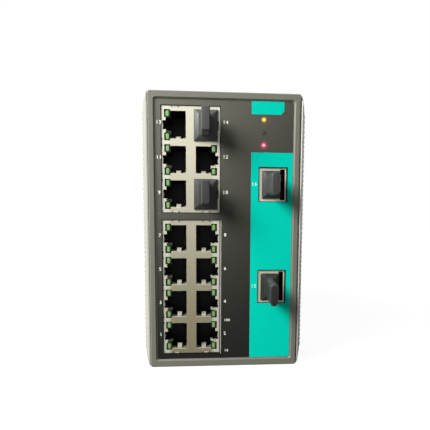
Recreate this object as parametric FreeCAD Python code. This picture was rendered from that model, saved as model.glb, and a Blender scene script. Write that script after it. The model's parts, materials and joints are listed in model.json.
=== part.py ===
import FreeCAD, Part
import math
import os

os.makedirs("parts", exist_ok=True)

V = FreeCAD.Vector

# Sixteen-socket ethernet switch in a metal housing that clips onto a 35 mm rail.
# Frame: the front panel faces -Y, +X is to the right seen from the front, +Z is up.
# Origin: middle of the housing's underside. All sizes are millimetres.

# ---------------------------------------------------------------- driving sizes

# Sheet metal and housing
housing_depth = 105.0
sheet = 1.2                    # folded steel of the chassis and the front plate
bend_radius = 1.8              # outer radius of the chassis folds
shell_wall = 3.45              # side shell between its inner face and the foot of the ribs
shell_setback = 2.0            # shell's front edge behind the bezel's face
shell_rim = 0.7                # flat front edge of the shell
shell_bevel = 1.45             # 45 degree bevel outside that edge
shell_taper = 8.5              # height over which the flank curves in, top and bottom
shell_taper_in = 1.95          # how far it curves in
rib_height = 0.5
rib_crest = 1.3                # flat top of a rib, between vee grooves
rib_pitch = 2.4
fit_gap = 0.1                  # assembly clearance between housing pieces

# Bezel
bezel_depth = 6.0
bezel_side_band = 3.2
bezel_top_band = 3.5
bezel_bottom_band = 3.8
bezel_lip = 1.0                # thickness of the lip that covers the plate's edge
bezel_corner = 1.0
opening_corner = 0.6           # bevel across the corners of the bezel's opening
bezel_edge = 0.45              # chamfer round the outside of the face
bezel_bevel = 0.6              # chamfer round the opening
bezel_groove = 0.45            # shadow gap between bezel and side shell

# Panel layout, left to right and bottom to top
label_margin = 3.25            # from the opening's left side to the socket blocks
label_gap = 15.4               # from the socket blocks to the green strip
strip_width = 20.85
strip_height = 103.2
tab_width = 15.9
tab_height = 6.4
tab_corner = 1.6
lower_margin = 3.0             # below the lower socket block
upper_margin = 3.2             # above the upper socket block
block_gap = 3.9                # between the two blocks
window_gap = 0.35              # between a socket's shield and its window
overlay_thickness = 0.2
print_thickness = 0.08
overlay_gap = 0.25

# Sockets
port_pitch = 16.4
jack_end_margin = 0.7          # shield beyond the end ports of a block
jack_recess = 0.3              # shield's face behind the plate's face
block_half_width = 14.0
block_depth = 25.4
single_width = 13.6
single_depth = 21.0
shield_wall = 0.3
cavity_depth = 12.7
cavity_inner = 2.35            # from the block's centre to the cavity
cavity_outer = 9.85
cavity_half = 6.6
step_outer = 12.0              # shoulder beside the latch
step_half = 3.6
latch_outer = 13.5             # notch for the latch
latch_half = 2.1
single_origin = 0.6            # a single socket's edge, in the same measure
low_jack_rise = 36.9           # lower single socket above the opening's bottom
single_pitch = 50.9

# Light pipes beside each port
pipe_width = 2.0
pipe_height = 3.2
pipe_inner = 10.15
pipe_offset = 5.4              # from the port's centre, up and down
pipe_length = 8.0
pipe_gap = 0.05
pipe_window = 0.3              # shield's opening beyond the pipe, up and down
pipe_side_window = 0.6         # and outwards

# Spring contacts
contact_count = 8
contact_pitch = 1.02
contact_width = 0.36
contact_start = 2.4            # behind the shield's face
contact_run = 7.4
contact_rise = 1.95
contact_seat = 1.2             # length of the wire's root on the port's wall

# Slot for the lights of a single socket, on the latch side
light_slot_inner = 11.2
light_slot_outer = 13.6
light_slot_half = 7.5
light_slot_depth = 5.0         # into the insulator

# Dust plugs
plug_cap_thickness = 2.2
plug_cap_rim = 0.6             # square edge of the cap, under its bevel
wide_cap_inner = 1.4           # cap across a stacked port, in the block's measure
wide_cap_outer = 13.0
wide_cap_half = 7.4
wide_cap_bevel = 2.4           # seen from the front
narrow_cap_inner = 2.0         # cap of a single socket, clear of its slot
narrow_cap_outer = 11.3
narrow_cap_half = 6.8
narrow_cap_bevel = 2.0
plug_body_inner = 4.75
plug_body_bevel = 0.5
plug_gap = 0.25                # between plug body and cavity
plug_body_length = 10.0
wide_handle_middle = 6.95      # from the block's centre
narrow_handle_middle = 6.5
handle_width = 3.9
handle_height = 10.6
handle_length = 11.0
square_corner = 0.5            # corners of a stacked plug's handle
round_corner = 1.8             # corners of a single plug's handle
round_facets = 3               # facets round a quarter of those
handle_edge = 0.3              # bevel round the handle's tip
plug_15_sag = 0.2              # how far a loose plug's cap hangs below its port
plug_15_droop = 2.1            # and its handle's tip
plug_16_sag = 0.0
plug_16_droop = 0.8

# Status lights
lens_sides = 12                # facets round a small lens or its hole
status_inset = 6.1             # from the strip's left side
status_drop = 8.9              # first light below the opening's top
status_pitch = 6.05
status_radius = 1.0
status_collar = 1.7
status_collar_length = 2.0
status_dome = 0.3
status_gap = 0.05

# Boards and what they carry
board = 1.6
board_setback = 5.0            # front edge behind the bezel's face
board_back_gap = 7.3           # rear edge to the chassis's back wall
guide_lip = 1.2
guide_depth = 1.5
guide_gap = 0.05
boss_height = 5.4              # underside of the screw channel above the base
screw_channel_z = 8.0
screw_channel_inset = 2.7      # channel's axis from the shell's inner face
screw_channel_radius = 1.25
channel_wall = 1.65            # between the channel and the board's edge
link_board_inset = 4.0         # in front of the boards' rear edge
link_board_rise = 60.0
link_board_height = 28.0
chip_size = 28.0
chip_height = 3.2
chip_gap = 3.0                 # behind the transformers
chip_z = 62.0
pad_size = 24.0
transformer_length = 14.0
transformer_width = 10.0
transformer_height = 6.0
transformer_gap = 2.8          # behind the socket blocks
converter_length = 36.0
converter_width = 13.0
converter_height = 30.0
converter_gap = 3.0            # in front of the cross board
converter_z = 60.0
relay_length = 20.0
relay_width = 15.6
relay_height = 10.2
relay_shift = 4.0              # relay's middle in front of the terminal's
relay_z = 92.0

# Terminal block
terminal_poles = 6
terminal_pitch = 5.08
terminal_back_gap = 4.2        # between the plug and the slide switches
terminal_plug_width = 9.6
terminal_plug_end = 0.4
terminal_plug_top = 6.5        # above the housing
terminal_header_wall = 1.2
terminal_header_floor = 2.0
terminal_header_height = 10.5
terminal_header_drop = 4.3     # below the chassis's top sheet
terminal_gap = 0.1
terminal_window = 0.8
terminal_screw_radius = 1.7
terminal_screw_height = 1.4
terminal_screw_recess = 0.8
terminal_screw_gap = 0.15
well_sides = 8                 # facets round a terminal screw or its well
wire_entry = 2.8
wire_entry_depth = 5.0
wire_entry_drop = 3.4          # centre of the entries below the plug's top

# Slide switches under the top
dip_count = 8
dip_pitch = 2.54
dip_end = 0.65
dip_width = 9.6
dip_height = 3.4
dip_recess = 0.6               # below the housing's top
dip_x = 14.0
dip_spacing = 11.0
dip_back_inset = 9.1           # second row's middle in front of the housing's back
dip_window = 0.5
slot_width = 1.3
slot_length = 3.2
slot_depth = 1.5
slider_gap = 0.15
slider_length = 1.5
slider_proud = 0.2
dip_board_margin = 2.2
dip_header_width = 3.0
dip_header_drop = 10.0

# Vents
vent_width = 2.2
vent_length = 14.0
vent_pitch = 6.0
vent_rows = 7
vent_top_x = (-23.0, -5.0)
vent_top_y = -2.0
vent_bottom_x = (-15.0, 15.0)
vent_bottom_y = 2.0

# Rail plate
rail_height = 35.0
rail_clearance = 0.3
rail_z = 72.0
rail_plate = 2.0
rail_plate_width = 46.0
rail_plate_below = 31.0
rail_plate_above = 31.0
rail_slot = 2.0                # room for the rail's edge
hook_thickness = 1.8
hook_wall = 2.5
hook_catch = 2.3               # how far a hook covers the rail
spring_room = 2.6
spring_thickness = 0.5
spring_width = 1.6
spring_length = 34.0
spring_bends = 6               # straight runs along the bowed leaf

# Fasteners: M3 unless named otherwise
rod_sides = 10                 # facets round a small screw or its hole
screw_head_bevel = 0.8
screw_radius = 1.5
screw_hole = 1.6
screw_head_radius = 2.8
screw_head_height = 2.0
screw_length = 14.0
plate_screw_x = 22.0
plate_screw_setback = 10.5     # behind the bezel's face
plate_screw_length = 6.0
plate_flange = 13.0
plate_flange_inset = 5.6
sink_radius = 2.7
sink_gap = 0.03
rail_screw_radius = 2.0        # M4
rail_screw_head = 3.6
rail_screw_length = 8.0
rail_screw_x = 14.0
rail_screw_edge = 4.6
ground_radius = 2.0            # M4
ground_head_radius = 3.8
ground_head_height = 2.4
ground_length = 8.0
ground_x = -26.0
ground_inset = 9.5             # in front of the housing's back
wall_hole_radius = 1.65
wall_hole_x = 24.0
wall_hole_z = 14.0
wall_hole_rise = 107.0
back_wing_inset = 0.5
back_wing_drop = 2.0

# ------------------------------------------------------------- derived places

# Across: the housing is built outwards from the panel.
block_width = 2 * block_half_width
panel_half = (label_margin + block_width + label_gap + strip_width) / 2
bezel_half = panel_half + bezel_side_band
rim_inner_x = bezel_half + bezel_groove
rim_outer_x = rim_inner_x + shell_rim
rib_foot_x = rim_outer_x + shell_bevel
half_width = rib_foot_x + rib_height
shell_inner_x = rib_foot_x - shell_wall
board_face_x = panel_half - label_margin
board_back_x = board_face_x + board
block_x = -board_face_x + block_half_width
single_x = board_face_x - single_width / 2
single_port_x = single_x - single_width / 2 - single_origin
strip_x = panel_half - strip_width

# Up: the stack of sockets sets the height.
lower_ports = 4
upper_ports = 3
panel_bottom_z = bezel_bottom_band
lower_z0 = panel_bottom_z + lower_margin
lower_z1 = lower_z0 + lower_ports * port_pitch + 2 * jack_end_margin
upper_z0 = lower_z1 + block_gap
upper_z1 = upper_z0 + upper_ports * port_pitch + 2 * jack_end_margin
panel_top_z = upper_z1 + upper_margin
housing_height = panel_top_z + bezel_top_band
single_z = [panel_bottom_z + low_jack_rise, panel_bottom_z + low_jack_rise + single_pitch]
lower_port_z = [lower_z0 + jack_end_margin + port_pitch * (i + 0.5) for i in range(lower_ports)]
upper_port_z = [upper_z0 + jack_end_margin + port_pitch * (i + 0.5) for i in range(upper_ports)]

# Deep: from the bezel's face to the back wall.
front_y = -housing_depth / 2
back_y = housing_depth / 2
plate_y = front_y + bezel_lip
bezel_back_y = front_y + bezel_depth
overlay_y = plate_y - overlay_thickness
jack_y = plate_y + jack_recess
shell_y = front_y + shell_setback
back_wall_y = back_y - sheet
board_y0 = front_y + board_setback
board_y1 = back_wall_y - board_back_gap

# Screw channels and board guides
channel_x = shell_inner_x - screw_channel_inset
board_z0 = screw_channel_z + screw_channel_radius + channel_wall
guide_top_z0 = housing_height - board_z0 - guide_depth
board_z1 = guide_top_z0 - guide_gap

rail_hook_top = rail_z + rail_height / 2 + rail_clearance / 2 + spring_room
rail_hook_bottom = rail_z - rail_height / 2 - rail_clearance / 2
rail_plate_y = back_y + rail_plate
rail_lip_y = rail_plate_y + rail_slot

top_inner_z = housing_height - sheet
dip_top_z = housing_height - dip_recess
dip_base_z = dip_top_z - dip_height
dip_length = dip_count * dip_pitch + 2 * dip_end
dip_rows = [back_y - dip_back_inset - dip_spacing, back_y - dip_back_inset]
dip_travel = slot_length - slider_length - 2 * slider_gap

terminal_length = terminal_poles * terminal_pitch + terminal_plug_end
terminal_header_half = terminal_length / 2 + terminal_gap + terminal_header_wall
terminal_x = board_face_x - terminal_header_wall - terminal_gap - terminal_plug_width / 2
terminal_y = dip_rows[0] - dip_width / 2 - terminal_back_gap - terminal_length / 2
terminal_header_z = top_inner_z - terminal_header_drop - terminal_header_height
terminal_plug_z0 = terminal_header_z + terminal_header_floor + terminal_gap
terminal_top_z = housing_height + terminal_plug_top

pocket_top = pipe_offset + pipe_height / 2 + pipe_window
pocket_outer = pipe_inner + pipe_width + pipe_side_window
transformer_y = jack_y + block_depth + transformer_gap
chip_y = transformer_y + transformer_length + chip_gap + chip_size / 2
link_board_y = board_y1 - link_board_inset
converter_y = link_board_y - converter_gap - converter_length / 2
relay_y = terminal_y - relay_shift
ground_y = back_y - ground_inset

status_x = strip_x + status_inset
status_z = [panel_top_z - status_drop - status_pitch * i for i in range(3)]


# ------------------------------------------------------------------- helpers

def block(x0, x1, y0, y1, z0, z1):
    """Box from its ranges along X, Y and Z."""
    return Part.makeBox(x1 - x0, y1 - y0, z1 - z0, V(x0, y0, z0))


def rod_y(radius, x, y0, y1, z):
    """Cylinder along Y."""
    return Part.makeCylinder(radius, y1 - y0, V(x, y0, z), V(0, 1, 0))


def flat_face(corners):
    """Plane face from its corners."""
    return Part.Face(Part.makePolygon(corners + corners[:1]))


def prism(corners, direction):
    """Prism from a closed run of corner points."""
    return flat_face(corners).extrude(direction)


def edges_at_y(shape, y):
    """Edges that lie wholly in the plane at y."""
    flat = []
    for edge in shape.Edges:
        box = edge.BoundBox
        if abs(box.YMin - y) < 1e-4 and abs(box.YMax - y) < 1e-4:
            flat.append(edge)
    return flat


def edges_along(shape, axis):
    """Straight edges parallel to an axis."""
    found = []
    for edge in shape.Edges:
        direction = edge.tangentAt(edge.FirstParameter)
        if abs(direction.dot(axis)) > 0.999:
            found.append(edge)
    return found


def back_edges(body):
    """Edges along X at the rear of a body."""
    return [edge for edge in edges_along(body, V(1, 0, 0)) if edge.BoundBox.YMax > body.BoundBox.YMax - 1e-4]


def rounded_block(x0, x1, y0, y1, z0, z1, radius):
    """Box whose four edges along Y are rounded."""
    body = block(x0, x1, y0, y1, z0, z1)
    return body.makeFillet(radius, edges_along(body, V(0, 1, 0)))


def bevelled_block(x0, x1, y0, y1, z0, z1, size):
    """Box whose four edges along Y are bevelled."""
    body = block(x0, x1, y0, y1, z0, z1)
    return body.makeChamfer(size, edges_along(body, V(0, 1, 0)))


def mirror_x(shape):
    """The same piece on the other side of the housing."""
    return shape.mirror(V(0, 0, 0), V(1, 0, 0))


def cut_all(body, tools):
    """Body less every tool."""
    return body.cut(Part.makeCompound(tools))


def ring(radius, z, sides):
    """Corners of a regular polygon round the Z axis."""
    step = 2 * math.pi / sides
    return [V(radius * math.cos(i * step), radius * math.sin(i * step), z) for i in range(sides)]


def stacked_solid(sections):
    """Solid with plane faces through sections that have the same number of corners."""
    count = len(sections[0])
    faces = [flat_face(sections[0]), flat_face(sections[-1])]
    for low, high in zip(sections, sections[1:]):
        for i in range(count):
            j = (i + 1) % count
            faces.append(flat_face([low[i], low[j], high[j], high[i]]))
    return Part.Solid(Part.Shell(faces))


def faceted_rod(radius, z0, z1, sides):
    """Upright rod on the Z axis with a polygon for its section."""
    return flat_face(ring(radius, z0, sides)).extrude(V(0, 0, z1 - z0))


def faceted_cone(radius0, radius1, z0, z1, sides):
    """Tapered rod on the Z axis, from one radius to the other."""
    return stacked_solid([ring(radius0, z0, sides), ring(radius1, z1, sides)])


def faceted_rod_y(radius, x, y0, y1, z, sides):
    """The same rod laid along Y."""
    rod = faceted_rod(radius, 0, y1 - y0, sides)
    return turned(rod, V(1, 0, 0), -90, V(x, y0, z))


def countersunk_screw(radius, head_radius, length, depth):
    """Flat-head screw on +Z from its tip, with its face at z = 0."""
    head = faceted_cone(radius, head_radius, -depth, 0, rod_sides)
    return head.fuse(faceted_rod(radius, -length, -depth, rod_sides))


def pan_screw(radius, head_radius, head_height, length):
    """Pan-head screw on +Z, its head standing on z = 0."""
    flank = head_height - screw_head_bevel
    head = faceted_rod(head_radius, 0, flank, rod_sides)
    crown = faceted_cone(head_radius, head_radius - screw_head_bevel, flank, head_height, rod_sides)
    return head.fuse(crown).fuse(faceted_rod(radius, -length, 0, rod_sides))


def turned(shape, axis, angle, place):
    """Shape turned about an axis through the origin, then moved."""
    return shape.rotated(V(0, 0, 0), axis, angle).translated(place)


# ------------------------------------------------------------------- housing

def front_bezel():
    """Cast frame: chamfered face, bevelled opening and a skirt round the plate."""
    body = rounded_block(-bezel_half, bezel_half, front_y, bezel_back_y, 0, housing_height, bezel_corner)
    body = body.makeChamfer(bezel_edge, edges_at_y(body, front_y))
    opening = bevelled_block(-panel_half, panel_half, front_y - 1, bezel_back_y + 1,
                             panel_bottom_z, panel_top_z, opening_corner)
    body = body.cut(opening)
    pocket = block(-bezel_half + sheet, bezel_half - sheet, plate_y, bezel_back_y + 1,
                   sheet, housing_height - sheet)
    body = body.cut(pocket)
    inner = []
    for edge in edges_at_y(body, front_y):
        box = edge.BoundBox
        if box.XMin > -panel_half - 0.1 and box.XMax < panel_half + 0.1 and box.ZMin > panel_bottom_z - 0.1:
            if box.ZMax < panel_top_z + 0.1:
                inner.append(edge)
    return body.makeChamfer(bezel_bevel, inner)


def socket_windows(y0, y1, gap):
    """Cutting blocks for the four socket windows in the plate and its films."""
    left = block_x - block_half_width - gap
    right = block_x + block_half_width + gap
    tools = [block(left, right, y0, y1, lower_z0 - gap, lower_z1 + gap)]
    tools.append(block(left, right, y0, y1, upper_z0 - gap, upper_z1 + gap))
    for z in single_z:
        tools.append(block(single_x - single_width / 2 - gap, single_x + single_width / 2 + gap,
                           y0, y1, z - port_pitch / 2 - gap, z + port_pitch / 2 + gap))
    return tools


def status_holes(y0, y1):
    """Cutting rods for the three status lights."""
    return [faceted_rod_y(status_radius + status_gap, status_x, y0, y1, z, lens_sides) for z in status_z]


def plate_screw_places():
    """Places of the four plate screws: x, z of the housing face, and outward sign."""
    return [(side * plate_screw_x, level, sign)
            for side in (-1, 1) for level, sign in ((0, -1), (housing_height, 1))]


def front_plate():
    """Steel tray behind the bezel's lip, folded back at top and bottom."""
    half = bezel_half - sheet - fit_gap
    fold = plate_y + plate_flange
    body = block(-half, half, plate_y, plate_y + sheet, sheet, housing_height - sheet)
    reach = half - plate_flange_inset
    body = body.fuse(block(-reach, reach, plate_y, fold, sheet, 2 * sheet))
    body = body.fuse(block(-reach, reach, plate_y, fold, housing_height - 2 * sheet, housing_height - sheet))
    tools = socket_windows(plate_y - 1, plate_y + sheet + 1, window_gap)
    tools += status_holes(plate_y - 1, plate_y + sheet + 1)
    screw_y = front_y + plate_screw_setback
    hole = faceted_rod(screw_hole, -4 * sheet, 4 * sheet, rod_sides)
    tools += [hole.translated(V(x, screw_y, z)) for x, z, sign in plate_screw_places()]
    return cut_all(body, tools)


def film_outline(y0, y1):
    """Full outline of the film, between two depths."""
    return bevelled_block(-panel_half + overlay_gap, panel_half - overlay_gap, y0, y1,
                          panel_bottom_z + overlay_gap, panel_top_z - overlay_gap, opening_corner)


def panel_overlay():
    """Dark film inside the bezel's opening."""
    body = film_outline(overlay_y, plate_y)
    tools = socket_windows(overlay_y - 1, plate_y + 1, window_gap)
    return cut_all(body, tools + status_holes(overlay_y - 1, plate_y + 1))


def accent_strip():
    """Green field down the right of the film and a small tab above the status lights."""
    y0 = overlay_y - print_thickness
    strip = block(strip_x, panel_half - overlay_gap, y0, overlay_y,
                  panel_bottom_z + overlay_gap, panel_bottom_z + strip_height)
    strip = cut_all(strip, socket_windows(y0 - 1, overlay_y + 1, window_gap))
    strip = strip.common(film_outline(y0, overlay_y))
    x1 = strip_x + tab_width
    z0 = panel_top_z - tab_height
    z1 = panel_top_z - overlay_gap
    corners = [(strip_x, z0), (x1 - tab_corner, z0), (x1, z0 + tab_corner), (x1, z1), (strip_x, z1)]
    tab = prism([V(x, y0, z) for x, z in corners], V(0, print_thickness, 0))
    return Part.makeCompound([strip, tab])


def shell_outline():
    """Outer edge of the right shell seen from the front, from bottom to top, with its ribs."""
    foot_x = rib_foot_x - shell_taper_in
    radius = (shell_taper_in ** 2 + shell_taper ** 2) / (2 * shell_taper_in)
    half_angle = math.asin(shell_taper / radius) / 2
    mid_x = rib_foot_x - radius + radius * math.cos(half_angle)
    mid_z = shell_taper - radius * math.sin(half_angle)
    top = housing_height
    edges = [Part.Arc(V(foot_x, 0, 0), V(mid_x, 0, mid_z), V(rib_foot_x, 0, shell_taper)).toShape()]
    ribs = int((top - 2 * shell_taper) // rib_pitch)
    first = top / 2 - (ribs - 1) * rib_pitch / 2
    corners = [V(rib_foot_x, 0, shell_taper)]
    for i in range(ribs):
        centre = first + i * rib_pitch
        if i > 0:
            corners.append(V(rib_foot_x, 0, centre - rib_pitch / 2))
        corners.append(V(half_width, 0, centre - rib_crest / 2))
        corners.append(V(half_width, 0, centre + rib_crest / 2))
    corners.append(V(rib_foot_x, 0, top - shell_taper))
    edges += Part.makePolygon(corners).Edges
    upper = Part.Arc(V(rib_foot_x, 0, top - shell_taper), V(mid_x, 0, top - mid_z), V(foot_x, 0, top))
    edges.append(upper.toShape())
    return edges, foot_x


def board_guides(y0, y1):
    """Screw channels and board guides on the shell's inner face."""
    low = block(board_face_x - guide_gap - guide_lip, shell_inner_x, y0, y1,
                boss_height, board_z0 + guide_depth)
    groove = block(board_face_x - guide_gap, board_back_x + guide_gap, y0, y1,
                   board_z0 - guide_gap, board_z0 + guide_depth)
    low = low.cut(groove)
    high = block(board_face_x, shell_inner_x, y0, y1, guide_top_z0, housing_height - boss_height)
    return low.fuse(high)


def right_side_shell():
    """Extruded side: ribs outside, screw channels and board guides inside."""
    edges, foot_x = shell_outline()
    top = housing_height
    edges.append(Part.makeLine(V(foot_x, 0, top), V(shell_inner_x, 0, top)))
    edges.append(Part.makeLine(V(shell_inner_x, 0, top), V(shell_inner_x, 0, 0)))
    edges.append(Part.makeLine(V(shell_inner_x, 0, 0), V(foot_x, 0, 0)))
    face = Part.Face(Part.Wire(edges))
    body = face.extrude(V(0, back_wall_y - shell_y, 0)).translated(V(0, shell_y, 0))
    body = body.fuse(board_guides(shell_y, back_wall_y))
    seat = block(0, rim_inner_x, shell_y - 1, bezel_back_y, -1, top + 1)
    reach = half_width - rim_outer_x + 1
    bevel = prism([V(rim_outer_x, shell_y, -1), V(rim_outer_x + reach, shell_y, -1),
                   V(rim_outer_x + reach, shell_y + reach, -1)], V(0, 0, top + 2))
    relief = block(0, board_face_x + guide_gap, shell_y - 1, jack_y + block_depth + 1, -1, top + 1)
    channels = []
    for z in (screw_channel_z, top - screw_channel_z):
        channels.append(faceted_rod_y(screw_channel_radius, channel_x, shell_y - 1, back_wall_y + 1,
                                      z, rod_sides))
    return cut_all(body, [seat, bevel, relief] + channels)


def left_side_shell():
    """The same extrusion, handed."""
    return mirror_x(right_side_shell())


def chassis_fold():
    """Top, back and bottom as one sheet with two rounded folds, between the side shells."""
    half = shell_inner_x - fit_gap
    outside = block(-half, half, bezel_back_y, back_y, 0, housing_height)
    outside = outside.makeFillet(bend_radius, back_edges(outside))
    inside = block(-half - 1, half + 1, bezel_back_y - 1, back_wall_y, sheet, top_inner_z)
    inside = inside.makeFillet(bend_radius - sheet, back_edges(inside))
    return outside.cut(inside)


def vent_slots(columns, middle_y, z0, z1):
    """Punched slots in rows, one column of rows at each x."""
    tools = []
    first = middle_y - (vent_rows - 1) * vent_pitch / 2
    for x in columns:
        for i in range(vent_rows):
            y = first + i * vent_pitch
            tools.append(block(x - vent_length / 2, x + vent_length / 2,
                               y - vent_width / 2, y + vent_width / 2, z0, z1))
    return tools


def chassis():
    """Folded sheet with vents and the openings for terminal, slide switches and screws."""
    top = housing_height
    body = chassis_fold()
    wing_x = rib_foot_x - back_wing_inset
    body = body.fuse(block(-wing_x, wing_x, back_wall_y, back_y, back_wing_drop, top - back_wing_drop))
    body = body.removeSplitter()
    over = top + 1
    under = top_inner_z - 1
    tools = vent_slots(vent_top_x, vent_top_y, under, over)
    tools += vent_slots(vent_bottom_x, vent_bottom_y, -1, sheet + 1)
    gap = terminal_window
    reach_x = terminal_plug_width / 2 + gap
    reach_y = terminal_length / 2 + gap
    tools.append(block(terminal_x - reach_x, terminal_x + reach_x,
                       terminal_y - reach_y, terminal_y + reach_y, under, over))
    for y in dip_rows:
        tools.append(block(dip_x - dip_length / 2 - dip_window, dip_x + dip_length / 2 + dip_window,
                           y - dip_width / 2 - dip_window, y + dip_width / 2 + dip_window, under, over))
    hole = faceted_rod(ground_radius + fit_gap, under, over, rod_sides)
    tools.append(hole.translated(V(ground_x, ground_y, 0)))
    screw_y = front_y + plate_screw_setback
    sink = faceted_cone(screw_radius + sink_gap, sink_radius + sink_gap, -sheet, 0, rod_sides)
    for x, z, sign in plate_screw_places():
        tools.append(turned(sink, V(1, 0, 0), 0 if sign > 0 else 180, V(x, screw_y, z)))
    for side in (-1, 1):
        for z in (screw_channel_z, top - screw_channel_z):
            tools.append(faceted_rod_y(screw_hole, side * channel_x, back_wall_y - 1, back_y + 1, z, rod_sides))
        for z in (wall_hole_z, wall_hole_z + wall_hole_rise):
            tools.append(rod_y(wall_hole_radius, side * wall_hole_x, back_wall_y - 1, back_y + 1, z))
    for x, z in rail_screw_places():
        tools.append(faceted_rod_y(rail_screw_radius + fit_gap, x, back_wall_y - 1, back_y + 1, z, rod_sides))
    return cut_all(body, tools)


def plate_screws():
    """Four flat-head screws that hold the front plate's folds."""
    screws = []
    screw_y = front_y + plate_screw_setback
    screw = countersunk_screw(screw_radius, sink_radius, plate_screw_length, sheet)
    for x, z, sign in plate_screw_places():
        screws.append(turned(screw, V(1, 0, 0), 0 if sign > 0 else 180, V(x, screw_y, z)))
    return Part.makeCompound(screws)


def rear_screws():
    """Four pan-head screws through the back wall into the shells' channels."""
    screw = pan_screw(screw_channel_radius - guide_gap, screw_head_radius, screw_head_height, screw_length)
    places = [(side * channel_x, z) for side in (-1, 1)
              for z in (screw_channel_z, housing_height - screw_channel_z)]
    return Part.makeCompound([turned(screw, V(1, 0, 0), -90, V(x, back_y, z)) for x, z in places])


def ground_screw():
    """Earth screw on the top."""
    screw = pan_screw(ground_radius, ground_head_radius, ground_head_height, ground_length)
    return screw.translated(V(ground_x, ground_y, housing_height))


# ---------------------------------------------------------------- rail fixing

def rail_screw_places():
    """Two screws above the upper hook, one below the lower hook."""
    high = rail_z + rail_plate_above - rail_screw_edge
    low = rail_z - rail_plate_below + rail_screw_edge
    return [(-rail_screw_x, high), (rail_screw_x, high), (0, low)]


def din_rail_plate():
    """Back plate with an upper and a lower hook for the rail, one profile along X."""
    z0 = rail_z - rail_plate_below
    z1 = rail_z + rail_plate_above
    y1 = rail_plate_y
    y2 = rail_lip_y
    y3 = rail_lip_y + hook_thickness
    upper = rail_hook_top
    lower = rail_hook_bottom
    upper_lip = upper - spring_room - hook_catch
    lower_lip = lower + hook_catch
    outline = [(back_y, z0), (y1, z0), (y1, lower - hook_wall), (y3, lower - hook_wall), (y3, lower_lip),
               (y2, lower_lip), (y2, lower), (y1, lower), (y1, upper), (y2, upper), (y2, upper_lip),
               (y3, upper_lip), (y3, upper + hook_wall), (y1, upper + hook_wall), (y1, z1), (back_y, z1)]
    half = rail_plate_width / 2
    body = prism([V(-half, y, z) for y, z in outline], V(2 * half, 0, 0))
    sink = faceted_cone(rail_screw_radius + sink_gap, rail_screw_head + sink_gap, 0, rail_plate, rod_sides)
    return cut_all(body, [turned(sink, V(1, 0, 0), -90, V(x, back_y, z)) for x, z in rail_screw_places()])


def din_rail_spring():
    """Bowed leaf in the upper hook that presses the rail down."""
    half = spring_length / 2
    bow = spring_room - spring_thickness - rail_clearance
    y0 = rail_plate_y + (rail_slot - spring_width) / 2
    upper = []
    for i in range(spring_bends + 1):
        x = half * (2 * i / spring_bends - 1)
        upper.append(V(x, y0, rail_hook_top - bow * (1 - (x / half) ** 2)))
    lower = [point - V(0, 0, spring_thickness) for point in reversed(upper)]
    return prism(upper + lower, V(0, spring_width, 0))


def din_plate_screws():
    """Three flat-head screws that hold the rail plate."""
    screw = countersunk_screw(rail_screw_radius, rail_screw_head, rail_screw_length, rail_plate)
    return Part.makeCompound([turned(screw, V(1, 0, 0), -90, V(x, rail_plate_y, z))
                              for x, z in rail_screw_places()])


# -------------------------------------------------------------------- sockets

plain_profile = [(cavity_inner, cavity_half), (cavity_outer, cavity_half), (cavity_outer, step_half),
                 (step_outer, step_half), (step_outer, latch_half), (latch_outer, latch_half)]
lit_profile = [(cavity_inner, cavity_half), (cavity_outer, cavity_half), (cavity_outer, pocket_top),
               (pocket_outer, pocket_top), (pocket_outer, step_half), (step_outer, step_half),
               (step_outer, latch_half), (latch_outer, latch_half)]
slotted_profile = [(cavity_inner, cavity_half), (cavity_outer, cavity_half), (cavity_outer, step_half),
                   (light_slot_inner, step_half), (light_slot_inner, light_slot_half),
                   (light_slot_outer, light_slot_half)]


def port_prism(profile, side, x, z, y0, y1):
    """Cutting prism for one port, which is alike above and below its middle and has its latch towards side."""
    lower = [(u, -w) for u, w in reversed(profile)]
    return prism([V(x + side * u, y0, z + w) for u, w in profile + lower], V(0, y1 - y0, 0))


def pipe_places(side, x, z):
    """Ranges along X and Z of the two light pipes beside a port."""
    x0, x1 = sorted((x + side * pipe_inner, x + side * (pipe_inner + pipe_width)))
    places = []
    for offset in (-pipe_offset, pipe_offset):
        places.append((x0, x1, z + offset - pipe_height / 2, z + offset + pipe_height / 2))
    return places


def block_ports(heights):
    """Both columns of a stacked block: side of the latch, axis x and port height."""
    return [(side, block_x, z) for z in heights for side in (-1, 1)]


def stacked_shield(z0, z1, heights):
    """Folded shield round a stacked block, open towards the main board."""
    x0 = block_x - block_half_width
    x1 = block_x + block_half_width
    y0 = jack_y
    y1 = jack_y + block_depth
    body = block(x0, x1, y0, y1, z0, z1)
    inside = block(x0 - 1, x1 - shield_wall, y0 + shield_wall, y1 - shield_wall,
                   z0 + shield_wall, z1 - shield_wall)
    tools = [inside]
    for side, x, z in block_ports(heights):
        tools.append(port_prism(lit_profile, side, x, z, y0 - 1, y0 + 1))
    return cut_all(body, tools)


def stacked_body(z0, z1, heights):
    """Insulator block with the stepped ports and the channels for the light pipes."""
    y0 = jack_y + shield_wall
    body = block(block_x - block_half_width, block_x + block_half_width - shield_wall,
                 y0, jack_y + block_depth - shield_wall, z0 + shield_wall, z1 - shield_wall)
    tools = []
    for side, x, z in block_ports(heights):
        tools.append(port_prism(plain_profile, side, x, z, y0 - 1, jack_y + cavity_depth))
        for px0, px1, pz0, pz1 in pipe_places(side, x, z):
            tools.append(block(px0 - pipe_gap, px1 + pipe_gap, y0 - 1, jack_y + pipe_length,
                               pz0 - pipe_gap, pz1 + pipe_gap))
    return cut_all(body, tools)


def light_pipes(heights):
    """Pale lenses of the port lights."""
    pipes = []
    for side, x, z in block_ports(heights):
        for px0, px1, pz0, pz1 in pipe_places(side, x, z):
            pipes.append(block(px0, px1, jack_y, jack_y + pipe_length, pz0, pz1))
    return Part.makeCompound(pipes)


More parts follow.
